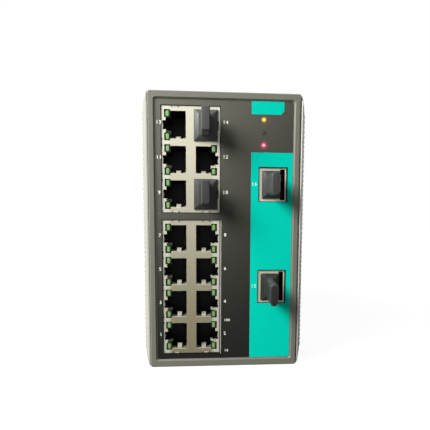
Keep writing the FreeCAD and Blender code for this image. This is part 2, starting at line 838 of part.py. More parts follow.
def single_shield(z):
    """Shield of a single socket, open towards the power board."""
    x0 = single_x - single_width / 2
    x1 = single_x + single_width / 2
    z0 = z - port_pitch / 2
    z1 = z + port_pitch / 2
    y1 = jack_y + single_depth
    body = block(x0, x1, jack_y, y1, z0, z1)
    inside = block(x0 + shield_wall, x1 + 1, jack_y + shield_wall, y1 - shield_wall,
                   z0 + shield_wall, z1 - shield_wall)
    return cut_all(body, [inside, port_prism(slotted_profile, 1, single_port_x, z, jack_y - 1, jack_y + 1)])


def single_body(z):
    """Insulator of a single socket, with the slot for its lights."""
    y0 = jack_y + shield_wall
    body = block(single_x - single_width / 2 + shield_wall, single_x + single_width / 2,
                 y0, jack_y + single_depth - shield_wall,
                 z - port_pitch / 2 + shield_wall, z + port_pitch / 2 - shield_wall)
    slot = block(single_port_x + light_slot_inner, single_port_x + light_slot_outer,
                 y0 - 1, y0 + light_slot_depth, z - light_slot_half, z + light_slot_half)
    return cut_all(body, [slot, port_prism(plain_profile, 1, single_port_x, z, y0 - 1, jack_y + cavity_depth)])


def port_contacts(side, x, z):
    """Eight tapered spring wires that rise from the port's inner wall."""
    root = x + side * cavity_inner
    y0 = jack_y + contact_start
    profile = [(0, 0), (contact_rise, contact_run), (0, contact_seat)]
    wires = []
    first = z - (contact_count - 1) * contact_pitch / 2 - contact_width / 2
    for i in range(contact_count):
        corners = [V(root + side * u, y0 + v, first + i * contact_pitch) for u, v in profile]
        wires.append(prism(corners, V(0, 0, contact_width)))
    return wires


def jack_contacts():
    """Spring wires of all sixteen sockets."""
    wires = []
    for side, x, z in block_ports(lower_port_z + upper_port_z):
        wires += port_contacts(side, x, z)
    for z in single_z:
        wires += port_contacts(1, single_port_x, z)
    return Part.makeCompound(wires)


def level_rectangle(x0, x1, z0, z1, y):
    """Corners of a rectangle that faces the front."""
    return [V(x0, y, z0), V(x1, y, z0), V(x1, y, z1), V(x0, y, z1)]


def bevelled_cap(x0, x1, z, half, bevel):
    """Cap of a plug on the shield's face: a low truncated pyramid on a square edge."""
    rim_y = jack_y - plug_cap_rim
    foot = level_rectangle(x0, x1, z - half, z + half, jack_y)
    rim = level_rectangle(x0, x1, z - half, z + half, rim_y)
    top = level_rectangle(x0 + bevel, x1 - bevel, z - half + bevel, z + half - bevel,
                          jack_y - plug_cap_thickness)
    return stacked_solid([foot, rim, top])


def handle_outline(radius, corner, facets, x, y, z):
    """Corners of a plug's handle at a depth: a tall rectangle whose corners are rounded by facets."""
    reach_x = handle_width / 2 - corner
    reach_z = handle_height / 2 - corner
    points = []
    for quarter, (side_x, side_z) in enumerate(((1, 1), (-1, 1), (-1, -1), (1, -1))):
        for step in range(facets + 1):
            angle = math.pi / 2 * (quarter + step / facets)
            points.append(V(x + side_x * reach_x + radius * math.cos(angle), y,
                            z + side_z * reach_z + radius * math.sin(angle)))
    return points


def plug_handle(x, root_z, tip_z, corner, facets):
    """Long flat handle from the cap to its tip, which may hang lower."""
    tip = jack_y - plug_cap_thickness - handle_length
    root = handle_outline(corner, corner, facets, x, jack_y - plug_cap_rim, root_z)
    neck = handle_outline(corner, corner, facets, x, tip + handle_edge, tip_z)
    end = handle_outline(corner - handle_edge, corner, facets, x, tip, tip_z)
    return stacked_solid([root, neck, end])


def dust_plug(x, z, cap, handle):
    """Moulded plug: its cap, the body inside the port and its handle."""
    half = cavity_half - plug_gap
    stem = block(x + plug_body_inner, x + cavity_outer - plug_gap, jack_y, jack_y + plug_body_length,
                 z - half, z + half)
    stem = stem.makeChamfer(plug_body_bevel, edges_at_y(stem, jack_y + plug_body_length))
    return cap.fuse(stem).fuse(handle).removeSplitter()


def stacked_plug(z):
    """Plug of a right-hand stacked port, with a wide cap and a square handle."""
    cap = bevelled_cap(block_x + wide_cap_inner, block_x + wide_cap_outer, z, wide_cap_half, wide_cap_bevel)
    handle = plug_handle(block_x + wide_handle_middle, z, z, square_corner, 1)
    return dust_plug(block_x, z, cap, handle)


def single_plug(z, sag, droop):
    """Plug of a single socket, with a narrow cap and a rounded handle, both hanging a little."""
    x = single_port_x
    cap = bevelled_cap(x + narrow_cap_inner, x + narrow_cap_outer, z - sag, narrow_cap_half, narrow_cap_bevel)
    handle = plug_handle(x + narrow_handle_middle, z - sag, z - droop, round_corner, round_facets)
    return dust_plug(x, z, cap, handle)


def status_light(index):
    """Light pipe with a domed face, pushed through the plate up to its collar."""
    z = status_z[index]
    length = plate_y + sheet - overlay_y
    dome = faceted_cone(status_radius, status_radius - status_dome, length, length + status_dome, lens_sides)
    pipe = faceted_rod(status_radius, 0, length, lens_sides)
    collar = faceted_rod(status_collar, -status_collar_length, 0, lens_sides)
    light = dome.fuse(pipe).fuse(collar)
    return turned(light, V(1, 0, 0), 90, V(status_x, plate_y + sheet, z))


# --------------------------------------------------------------------- boards

def main_board():
    """Board beside the left shell that carries the stacked sockets."""
    return block(-board_back_x, -board_face_x, board_y0, board_y1, board_z0, board_z1)


def power_board():
    """Board beside the right shell that carries the single sockets and the supply."""
    return block(board_face_x, board_back_x, board_y0, board_y1, board_z0, board_z1)


def link_board():
    """Cross board between the two."""
    return block(-board_face_x, board_face_x, link_board_y, link_board_y + board,
                 link_board_rise, link_board_rise + link_board_height)


def dip_board():
    """Small board under the top with the header that stands on the power board."""
    x0 = dip_x - dip_length / 2 - dip_board_margin
    y0 = dip_rows[0] - dip_width / 2 - dip_board_margin / 2
    y1 = dip_rows[1] + dip_width / 2 + dip_board_margin / 2
    body = block(x0, board_face_x, y0, y1, dip_base_z - board, dip_base_z)
    header = block(board_face_x - dip_header_width, board_face_x, dip_rows[0], dip_rows[1],
                   dip_base_z - board - dip_header_drop, dip_base_z - board)
    return body.fuse(header)


def switch_chip():
    """Switch controller on the main board."""
    return block(-board_face_x, -board_face_x + chip_height, chip_y - chip_size / 2, chip_y + chip_size / 2,
                 chip_z - chip_size / 2, chip_z + chip_size / 2)


def heat_pad():
    """Pad that carries the controller's heat into the left shell."""
    return block(-shell_inner_x, -board_back_x, chip_y - pad_size / 2, chip_y + pad_size / 2,
                 chip_z - pad_size / 2, chip_z + pad_size / 2)


def line_transformers():
    """One transformer module behind each pair of stacked ports."""
    lowest = board_z0 + guide_depth + guide_gap + transformer_width / 2
    highest = board_z1 - transformer_width / 2
    modules = []
    for z in lower_port_z + upper_port_z:
        middle = min(max(z, lowest), highest)
        modules.append(block(-board_face_x, -board_face_x + transformer_height,
                             transformer_y, transformer_y + transformer_length,
                             middle - transformer_width / 2, middle + transformer_width / 2))
    return Part.makeCompound(modules)


def power_converter():
    """Encapsulated supply on the power board."""
    return block(board_face_x - converter_width, board_face_x,
                 converter_y - converter_length / 2, converter_y + converter_length / 2,
                 converter_z - converter_height / 2, converter_z + converter_height / 2)


def alarm_relay():
    """Alarm relay on the power board."""
    return block(board_face_x - relay_width, board_face_x,
                 relay_y - relay_length / 2, relay_y + relay_length / 2,
                 relay_z - relay_height / 2, relay_z + relay_height / 2)


# ------------------------------------------------------- terminal and switches

def terminal_header():
    """Open-topped header on the power board."""
    half_x = terminal_plug_width / 2 + terminal_gap
    z1 = terminal_header_z + terminal_header_height
    body = block(terminal_x - half_x - terminal_header_wall, terminal_x + half_x + terminal_header_wall,
                 terminal_y - terminal_header_half, terminal_y + terminal_header_half, terminal_header_z, z1)
    room_y = terminal_length / 2 + terminal_gap
    room = block(terminal_x - half_x, terminal_x + half_x, terminal_y - room_y, terminal_y + room_y,
                 terminal_header_z + terminal_header_floor, z1 + 1)
    return body.cut(room)


def pole_places():
    """Position along Y of each pole."""
    first = terminal_y - (terminal_poles - 1) * terminal_pitch / 2
    return [first + i * terminal_pitch for i in range(terminal_poles)]


def terminal_plug():
    """Pluggable terminal block with its wire entries and screw wells."""
    half_x = terminal_plug_width / 2
    body = block(terminal_x - half_x, terminal_x + half_x, terminal_y - terminal_length / 2,
                 terminal_y + terminal_length / 2, terminal_plug_z0, terminal_top_z)
    entry_z = terminal_top_z - wire_entry_drop
    well = terminal_screw_recess + terminal_screw_height
    hole = faceted_rod(terminal_screw_radius + terminal_screw_gap, terminal_top_z - well, terminal_top_z + 1,
                       well_sides)
    tools = []
    for y in pole_places():
        tools.append(block(terminal_x - half_x - 1, terminal_x - half_x + wire_entry_depth,
                           y - wire_entry / 2, y + wire_entry / 2,
                           entry_z - wire_entry / 2, entry_z + wire_entry / 2))
        tools.append(hole.translated(V(terminal_x + half_x / 3, y, 0)))
    return cut_all(body, tools)


def terminal_screws():
    """Clamping screws of the terminal plug."""
    z0 = terminal_top_z - terminal_screw_recess - terminal_screw_height
    z1 = z0 + terminal_screw_height
    x = terminal_x + terminal_plug_width / 6
    head = faceted_rod(terminal_screw_radius, z0, z1, well_sides)
    return Part.makeCompound([head.translated(V(x, y, 0)) for y in pole_places()])


def slider_places(row_y):
    """Position along X of each slider of a row, paired with the row's y."""
    first = dip_x - (dip_count - 1) * dip_pitch / 2
    return [(first + i * dip_pitch, row_y) for i in range(dip_count)]


def slide_switch_bodies():
    """Two eight-way switch bodies with a slot for each slider."""
    bodies = []
    for row_y in dip_rows:
        body = block(dip_x - dip_length / 2, dip_x + dip_length / 2, row_y - dip_width / 2,
                     row_y + dip_width / 2, dip_base_z, dip_top_z)
        slots = [block(x - slot_width / 2, x + slot_width / 2, y - slot_length / 2, y + slot_length / 2,
                       dip_top_z - slot_depth, dip_top_z + 1) for x, y in slider_places(row_y)]
        bodies.append(cut_all(body, slots))
    return Part.makeCompound(bodies)


def slider(x, y):
    """One slider, at the front end of its slot."""
    half = slot_width / 2 - slider_gap
    y0 = y - slot_length / 2 + slider_gap
    return block(x - half, x + half, y0, y0 + slider_length,
                 dip_top_z - slot_depth + slider_gap, dip_top_z + slider_proud)


# ----------------------------------------------------------------------- write

def all_pieces():
    """Every node of the assembly by name."""
    pieces = {
        "front_bezel": front_bezel(),
        "front_plate": front_plate(),
        "panel_overlay": panel_overlay(),
        "accent_strip": accent_strip(),
        "left_side_shell": left_side_shell(),
        "right_side_shell": right_side_shell(),
        "chassis": chassis(),
        "plate_screws": plate_screws(),
        "rear_screws": rear_screws(),
        "ground_screw": ground_screw(),
        "din_rail_plate": din_rail_plate(),
        "din_rail_spring": din_rail_spring(),
        "din_plate_screws": din_plate_screws(),
        "lower_jack_shield": stacked_shield(lower_z0, lower_z1, lower_port_z),
        "lower_jack_body": stacked_body(lower_z0, lower_z1, lower_port_z),
        "lower_light_pipes": light_pipes(lower_port_z),
        "upper_jack_shield": stacked_shield(upper_z0, upper_z1, upper_port_z),
        "upper_jack_body": stacked_body(upper_z0, upper_z1, upper_port_z),
        "upper_light_pipes": light_pipes(upper_port_z),
        "jack_15_shield": single_shield(single_z[0]),
        "jack_15_body": single_body(single_z[0]),
        "jack_16_shield": single_shield(single_z[1]),
        "jack_16_body": single_body(single_z[1]),
        "jack_contacts": jack_contacts(),
        "dust_plug_10": stacked_plug(upper_port_z[0]),
        "dust_plug_14": stacked_plug(upper_port_z[2]),
        "dust_plug_15": single_plug(single_z[0], plug_15_sag, plug_15_droop),
        "dust_plug_16": single_plug(single_z[1], plug_16_sag, plug_16_droop),
        "power_1_light": status_light(0),
        "power_2_light": status_light(1),
        "fault_light": status_light(2),
        "main_board": main_board(),
        "power_board": power_board(),
        "link_board": link_board(),
        "dip_board": dip_board(),
        "switch_chip": switch_chip(),
        "heat_pad": heat_pad(),
        "line_transformers": line_transformers(),
        "power_converter": power_converter(),
        "alarm_relay": alarm_relay(),
        "terminal_header": terminal_header(),
        "terminal_plug": terminal_plug(),
        "terminal_screws": terminal_screws(),
        "slide_switch_bodies": slide_switch_bodies(),
    }
    number = 1
    for row_y in dip_rows:
        for x, y in slider_places(row_y):
            pieces["slider_%02d" % number] = slider(x, y)
            number += 1
    return pieces


for name, shape in all_pieces().items():
    shape.exportStep("parts/%s.step" % name)
    print("%-22s solids %3d  valid %s  volume %.1f" % (name, len(shape.Solids), shape.isValid(), shape.Volume))
print("housing %.2f wide, %.2f high, %.2f deep" % (2 * half_width, housing_height, housing_depth))
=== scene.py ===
"""Finishes, small details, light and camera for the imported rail-mounted network switch."""

from __future__ import annotations

import json
import logging
import math
from collections.abc import Iterator
from dataclasses import dataclass
from enum import Enum

import bmesh
import bpy
from mathutils import Matrix, Vector

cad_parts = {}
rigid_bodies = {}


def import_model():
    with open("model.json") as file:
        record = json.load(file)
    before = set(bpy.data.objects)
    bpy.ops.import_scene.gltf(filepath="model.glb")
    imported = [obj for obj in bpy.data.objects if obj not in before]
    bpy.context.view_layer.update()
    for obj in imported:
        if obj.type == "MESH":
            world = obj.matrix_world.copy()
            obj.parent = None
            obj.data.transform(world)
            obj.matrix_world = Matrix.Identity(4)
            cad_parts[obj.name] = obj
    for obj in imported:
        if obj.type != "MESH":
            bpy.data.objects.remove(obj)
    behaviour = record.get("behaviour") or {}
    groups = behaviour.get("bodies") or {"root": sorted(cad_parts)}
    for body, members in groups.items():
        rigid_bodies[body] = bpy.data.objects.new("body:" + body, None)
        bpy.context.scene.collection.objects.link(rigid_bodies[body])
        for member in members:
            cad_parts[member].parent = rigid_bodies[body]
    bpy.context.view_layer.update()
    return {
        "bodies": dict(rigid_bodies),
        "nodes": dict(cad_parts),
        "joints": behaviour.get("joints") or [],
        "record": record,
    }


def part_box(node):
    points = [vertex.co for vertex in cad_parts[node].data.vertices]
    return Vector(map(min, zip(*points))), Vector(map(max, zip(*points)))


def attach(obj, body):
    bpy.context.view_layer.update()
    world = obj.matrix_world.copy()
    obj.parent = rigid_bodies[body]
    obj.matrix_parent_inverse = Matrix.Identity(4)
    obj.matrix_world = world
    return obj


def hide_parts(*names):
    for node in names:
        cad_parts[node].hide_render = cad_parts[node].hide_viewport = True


LOG = logging.getLogger("switch")
MM = 0.001
HOUSING = "housing"
ROW_PITCH = 16.4  # height of one row of sockets, in millimetres
PRINT_LIFT = 0.02  # how far print and thin trim stand proud of their face, in millimetres
WHITE = (1.0, 1.0, 1.0, 1.0)

Colour = tuple[float, float, float, float]
Triple = tuple[float, float, float]
Pair = tuple[float, float]
Socket = bpy.types.NodeSocket
Outputs = bpy.types.NodeOutputs
Tree = bpy.types.NodeTree
Material = bpy.types.Material
Mesh = bpy.types.Mesh


# -------------------- small helpers


def linear(code: str) -> Colour:
    """Turn a display colour into the linear colour that a shader takes.

    Args:
        code: six hexadecimal digits.

    Returns:
        Linear red, green, blue and an alpha of 1.
    """
    parts = [int(code[start:start + 2], 16) / 255 for start in (0, 2, 4)]
    red, green, blue = (part / 12.92 if part <= 0.04045 else ((part + 0.055) / 1.055) ** 2.4
                        for part in parts)
    return (red, green, blue, 1.0)


def mm(*values: float) -> Vector:
    """Give a vector in metres from lengths in millimetres."""
    return Vector(values) * MM


def show(name: str, data: bpy.types.ID) -> bpy.types.Object:
    """Put a mesh, curve, lamp or camera in the scene as an object.

    Args:
        name: the object's name.
        data: what it shows.

    Returns:
        The new object.
    """
    thing = bpy.data.objects.new(name, data)
    bpy.context.scene.collection.objects.link(thing)
    return thing


def as_mesh(thing: bpy.types.Object) -> Mesh:
    """Keep an object as it is shown, modifiers and all, as a plain mesh."""
    graph = bpy.context.evaluated_depsgraph_get()
    return bpy.data.meshes.new_from_object(thing.evaluated_get(graph))


# -------------------- nodes


class Net:
    """Adds nodes to one tree, of shaders or of geometry, and links them."""

    def __init__(self, tree: Tree) -> None:
        """Work on a tree."""
        self.tree = tree

    @classmethod
    def of_material(cls, material: Material) -> Net:
        """Work on a material's own tree."""
        material.use_nodes = True
        return cls(material.node_tree)

    def feed(self, inputs: bpy.types.NodeInputs, values: dict[str | int, object]) -> None:
        """Give inputs their values, or link them where the value is another node's output.

        Args:
            inputs: a node's inputs.
            values: a number, colour, vector or output for each input, by its name or number.
        """
        for label, value in values.items():
            if isinstance(value, Socket):
                self.tree.links.new(value, inputs[label])
            else:
                inputs[label].default_value = value

    def node(self, kind: str, values: dict[str | int, object] | None = None,
             **settings: object) -> bpy.types.Node:
        """Add a node.

        Args:
            kind: Blender's name for its type.
            values: what its inputs get.
            settings: properties of the node itself.

        Returns:
            The new node.
        """
        node = self.tree.nodes.new(kind)
        for label, value in settings.items():
            setattr(node, label, value)
        self.feed(node.inputs, values or {})
        return node

    def here(self) -> Socket:
        """Read the Object coordinates."""
        return self.node("ShaderNodeTexCoord").outputs["Object"]

    def axes(self, vector: Socket) -> Outputs:
        """Split a vector into X, Y and Z."""
        return self.node("ShaderNodeSeparateXYZ", {0: vector}).outputs

    def math(self, operation: str, first: object, second: object = 0.0,
             clamp: bool = False) -> Socket:
        """Work with two numbers, each a constant or an output."""
        return self.node("ShaderNodeMath", {0: first, 1: second}, operation=operation,
                         use_clamp=clamp).outputs[0]

    def vector(self, operation: str, first: object, second: object = (0.0, 0.0, 0.0),
               result: str = "Vector") -> Socket:
        """Work with two vectors, each a constant or an output."""
        return self.node("ShaderNodeVectorMath", {0: first, 1: second},
                         operation=operation).outputs[result]

    def mix(self, mask: Socket, first: object, second: object) -> Socket:
        """Mix two colours, each a constant or an output, by a mask."""
        return self.node("ShaderNodeMix", {"Factor": mask, 6: first, 7: second},
                         data_type="RGBA").outputs[2]

    def span(self, value: Socket, start: object, end: object, low: float = 0.0,
             high: float = 1.0, shape: str = "SMOOTHSTEP") -> Socket:
        """Turn a number that goes from start to end into one that goes from low to high."""
        return self.node("ShaderNodeMapRange", {"Value": value, "From Min": start, "From Max": end,
                                                "To Min": low, "To Max": high},
                         interpolation_type=shape).outputs["Result"]

    def noise(self, scale: object, detail: float, rough: float) -> Socket:
        """Read a noise in Object coordinates."""
        node = self.node("ShaderNodeTexNoise", {"Vector": self.here(), "Scale": scale,
                                                "Detail": detail, "Roughness": rough})
        return node.outputs["Fac"]

    def rounded(self, radius: float) -> Socket:
        """Read the normal of edges rounded by some millimetres."""
        return self.node("ShaderNodeBevel", {"Radius": radius * MM}, samples=4).outputs["Normal"]

    def group(self, tree: Tree, values: dict[str, float]) -> Outputs:
        """Put a shared group in the tree and give its outputs.

        Args:
            tree: the shared group.
            values: its numbers, by the input.

        Returns:
            The group's outputs.
        """
        node = self.node("ShaderNodeGroup", node_tree=tree)
        self.feed(node.inputs, values)
        return node.outputs

    def blend(self, share: Socket, first: bpy.types.Node, second: bpy.types.Node,
              end: str) -> None:
        """Mix two shaders by a share and end the tree in them."""
        both = self.node("ShaderNodeMixShader",
                         {0: share, 1: first.outputs[0], 2: second.outputs[0]})
        self.feed(self.tree.nodes[end].inputs, {"Surface": both.outputs[0]})


# -------------------- shader groups


class ShaderGroups:
    """Node groups that several finishes share, each built once."""

    def __init__(self) -> None:
        """Build every group."""
        self.grain = self._grain()
        self.edge_wear = self._edge_wear()
        self.dust = self._dust()
        self.height_fade = self._height_fade()
        self.smudge = self._smudge()
        self.specks = self._specks()

    @staticmethod
    def _begin(name: str, inputs: dict[str, float]) -> tuple[Net, Outputs]:
        """Start a group.

        Args:
            name: the group's name.
            inputs: its inputs, all numbers, with their usual values.

        Returns:
            The group's net, and the inputs as the nodes inside read them.
        """
        tree = bpy.data.node_groups.new(name, "ShaderNodeTree")
        for label, value in inputs.items():
            socket = tree.interface.new_socket(label, in_out="INPUT", socket_type="NodeSocketFloat")
            socket.default_value = value
        net = Net(tree)
        return net, net.node("NodeGroupInput").outputs

    @staticmethod
    def _end(net: Net, **results: Socket) -> Tree:
        """End a group in its results, all numbers, and give its tree.

        Args:
            net: the group's net.
            results: what each output gives.

        Returns:
            The group's tree.
        """
        for label in results:
            net.tree.interface.new_socket(label, in_out="OUTPUT", socket_type="NodeSocketFloat")
        net.node("NodeGroupOutput", results)
        return net.tree

    def _grain(self) -> Tree:
        """Fine grain with a coarse mottle: Height for bump, Tone round 1 for colour.

        Returns:
            The group's tree.
        """
        net, start = self._begin("surface grain",
                                {"Scale": 2500.0, "Mottle Scale": 60.0, "Contrast": 0.1})
        fine = net.noise(start["Scale"], detail=2.0, rough=0.6)
        coarse = net.noise(start["Mottle Scale"], detail=4.0, rough=0.55)
        centred = net.math("SUBTRACT", net.math("ADD", fine, coarse), 1.0)
        swing = net.math("MULTIPLY", centred, start["Contrast"])
        return self._end(net, Height=fine, Tone=net.math("ADD", swing, 1.0))

    def _edge_wear(self) -> Tree:
        """Mask of rubbed edges that also paints highlights on them: 1 on a sharp outer edge, broken
        up by noise.

        Returns:
            The group's tree.
        """
        net, start = self._begin("worn edges and painted highlight", {"Amount": 0.5, "Break Scale": 350.0})
        flat = net.node("ShaderNodeNewGeometry").outputs["Normal"]
        alike = net.vector("DOT_PRODUCT", net.rounded(0.3), flat, result="Value")
        sharp = net.math("MULTIPLY", net.math("SUBTRACT", 1.0, alike), 6.0, clamp=True)
        noise = net.noise(start["Break Scale"], detail=3.0, rough=0.6)
        broken = net.math("MULTIPLY", noise, 1.6, clamp=True)
        mask = net.math("MULTIPLY", sharp, broken)
        return self._end(net, Mask=net.math("MULTIPLY", mask, start["Amount"]))

    def _dust(self) -> Tree:
        """Mask of settled dust, which on the plugs also paints light on upward faces: patchy,
        strongest on faces that look up.

        Returns:
            The group's tree.
        """
        net, start = self._begin("settled dust and top light", {"Amount": 0.3, "Patch Scale": 110.0})
        up = net.axes(net.node("ShaderNodeNewGeometry").outputs["Normal"])["Z"]
        upward = net.math("MAXIMUM", up, 0.12)
        noise = net.noise(start["Patch Scale"], detail=5.0, rough=0.65)
        spread = net.math("MULTIPLY", net.math("SUBTRACT", noise, 0.35, clamp=True), upward)
        return self._end(net, Mask=net.math("MULTIPLY", spread, start["Amount"], clamp=True))

    def _height_fade(self) -> Tree:
        """Mask that rises from 0 at Low to 1 at High, and sooner high on the left with Slant; on
        the film, shields and plugs it paints light.

        Returns:
            The group's tree.
        """
        net, start = self._begin("height fade", {"Low": 0.0, "High": 0.135, "Slant": 0.0})
        place = net.axes(net.here())
        lean = net.math("MULTIPLY", net.math("MULTIPLY", place["Z"], 10.0), start["Slant"])
        level = net.math("SUBTRACT", place["Z"], net.math("MULTIPLY", place["X"], lean))
        return self._end(net, Mask=net.span(level, start["Low"], start["High"]))

    def _smudge(self) -> Tree:
        """Slow change of gloss from handling: Gloss round 0.

        Returns:
            The group's tree.
        """
        net, start = self._begin("handling smudge", {"Scale": 45.0, "Strength": 0.1})
        centred = net.math("SUBTRACT", net.noise(start["Scale"], detail=3.0, rough=0.5), 0.5)
        return self._end(net, Gloss=net.math("MULTIPLY", centred, start["Strength"]))

    def _specks(self) -> Tree:
        """Mask of a few small specks of lint, one in some of a grid's cells.

        Returns:
            The group's tree.
        """
        net, start = self._begin("lint specks", {"Scale": 220.0, "Size": 0.03, "Share": 0.12})
        cells = net.node("ShaderNodeTexVoronoi", {"Vector": net.here(), "Scale": start["Scale"]})
        near = net.math("LESS_THAN", cells.outputs["Distance"], start["Size"])
        pick = net.node("ShaderNodeSeparateColor", {0: cells.outputs["Color"]}).outputs[0]
        chosen = net.math("LESS_THAN", pick, start["Share"])
        return self._end(net, Mask=net.math("MULTIPLY", near, chosen))


# -------------------- finishes


@dataclass(frozen=True)
class Finish:
    """A surface finish: colours at the foot and the top, gloss, grain, wear with painted edge
    highlights, and dust.

    Colours are six hexadecimal digits and lengths are in millimetres.
    """

    name: str
    low: str
    high: str
    rough: float
    metal: float = 0.0
    specular: float = 0.5
    grain_scale: float = 2500.0
    mottle_scale: float = 60.0
    contrast: float = 0.1
    bump: float = 0.1
    bump_depth: float = 0.02
    # wear: amount of the edge layer, real wear and also a painted highlight on sharp edges
    wear: float = 0.0
    wear_colour: str = "d0cec6"
    # dust: amount of the dust layer; on the plugs it also paints light on upward faces
    dust: float = 0.0
    dust_colour: str = "a9a598"
    smudge: float = 0.1
    specks: float = 0.0
    speck_colour: str = "b4b2a8"
    fade_low: float = 0.0
    fade_high: float = 135.0
    slant: float = 0.0
    soft_edge: float = 0.0
    core_colour: str = ""
    band_colour: str = ""
    band_middle: float = -16.5
    band_reach: Pair = (9.6, 11.6)
    band_share: float = 0.6

    def build(self, groups: ShaderGroups) -> Material:
        """Make the material.

        Args:
            groups: the shared node groups.

        Returns:
            A node material with this finish.
        """
        material = bpy.data.materials.new(self.name)
        net = Net.of_material(material)
        fade = net.group(groups.height_fade, {"Low": self.fade_low * MM, "Slant": self.slant,
                                              "High": self.fade_high * MM})
        grain = net.group(groups.grain, {"Scale": self.grain_scale, "Contrast": self.contrast,
                                         "Mottle Scale": self.mottle_scale})
        colour = net.mix(fade["Mask"], linear(self.low), linear(self.high))
        colour = net.node("ShaderNodeVectorMath", {0: colour, "Scale": grain["Tone"]},
                          operation="SCALE").outputs[0]
        for mask, code in self._layers(net, groups):
            colour = net.mix(mask, colour, linear(code))
        smudge = net.group(groups.smudge, {"Strength": self.smudge})["Gloss"]
        bump = net.node("ShaderNodeBump", {"Strength": self.bump, "Height": grain["Height"],
                                           "Distance": self.bump_depth * MM})
        if self.soft_edge:
            net.feed(bump.inputs, {"Normal": net.rounded(self.soft_edge)})
        net.feed(net.tree.nodes["Principled BSDF"].inputs, {
            "Base Color": colour, "Metallic": self.metal, "Specular IOR Level": self.specular,
            "Roughness": net.math("ADD", smudge, self.rough, clamp=True),
            "Normal": bump.outputs["Normal"]})
        return material

    def _layers(self, net: Net, groups: ShaderGroups) -> Iterator[tuple[Socket, str]]:
        """Give what lies over the base colour, from below upwards.

        Args:
            net: the material's net.
            groups: the shared node groups.

        Yields:
            The mask and the colour of each layer.
        """
        # edge layer: real wear and also a painted highlight on sharp edges
        if self.wear:
            yield net.group(groups.edge_wear, {"Amount": self.wear})["Mask"], self.wear_colour
        # dust on upward faces; on the plugs it also paints light on their tops
        if self.dust:
            yield net.group(groups.dust, {"Amount": self.dust})["Mask"], self.dust_colour
        if self.specks:
            yield net.group(groups.specks, {"Share": self.specks})["Mask"], self.speck_colour
        if self.band_colour:
            across = net.math("SUBTRACT", net.axes(net.here())["X"], self.band_middle * MM)
            inner, outer = self.band_reach
            yield net.span(net.math("ABSOLUTE", across), inner * MM, outer * MM,
                           high=self.band_share), self.band_colour
        # painted highlight in the middle of each port lens, from the mesh's core attribute
        if self.core_colour:
            core = net.node("ShaderNodeAttribute", attribute_name="core")
            yield core.outputs["Fac"], self.core_colour


@dataclass(frozen=True)
class LensFinish:
    """A small lens, lit or dark: a bright middle that fades to its rim."""

    name: str
    rim: str
    middle: str
    glow: float
    radius: float = 1.0
    rough: float = 0.25

    def build(self, x: float, z: float) -> Material:
        """Make the material.

        Args:
            x: place of the lens across, in millimetres.
            z: its height, in millimetres.

        Returns:
            A node material with this finish.
        """
        material = bpy.data.materials.new(self.name)
        net = Net.of_material(material)
        shift = net.vector("SUBTRACT", net.here(), mm(x, 0, z))
        flat = net.vector("MULTIPLY", shift, (1.0, 0.0, 1.0))
        away = net.span(net.vector("LENGTH", flat, result="Value"), 0.0, self.radius * MM)
        colour = net.mix(away, linear(self.middle), linear(self.rim))
        net.feed(net.tree.nodes["Principled BSDF"].inputs, {
            "Base Color": colour, "Emission Color": colour, "Emission Strength": self.glow,
            "Roughness": self.rough})
        return material


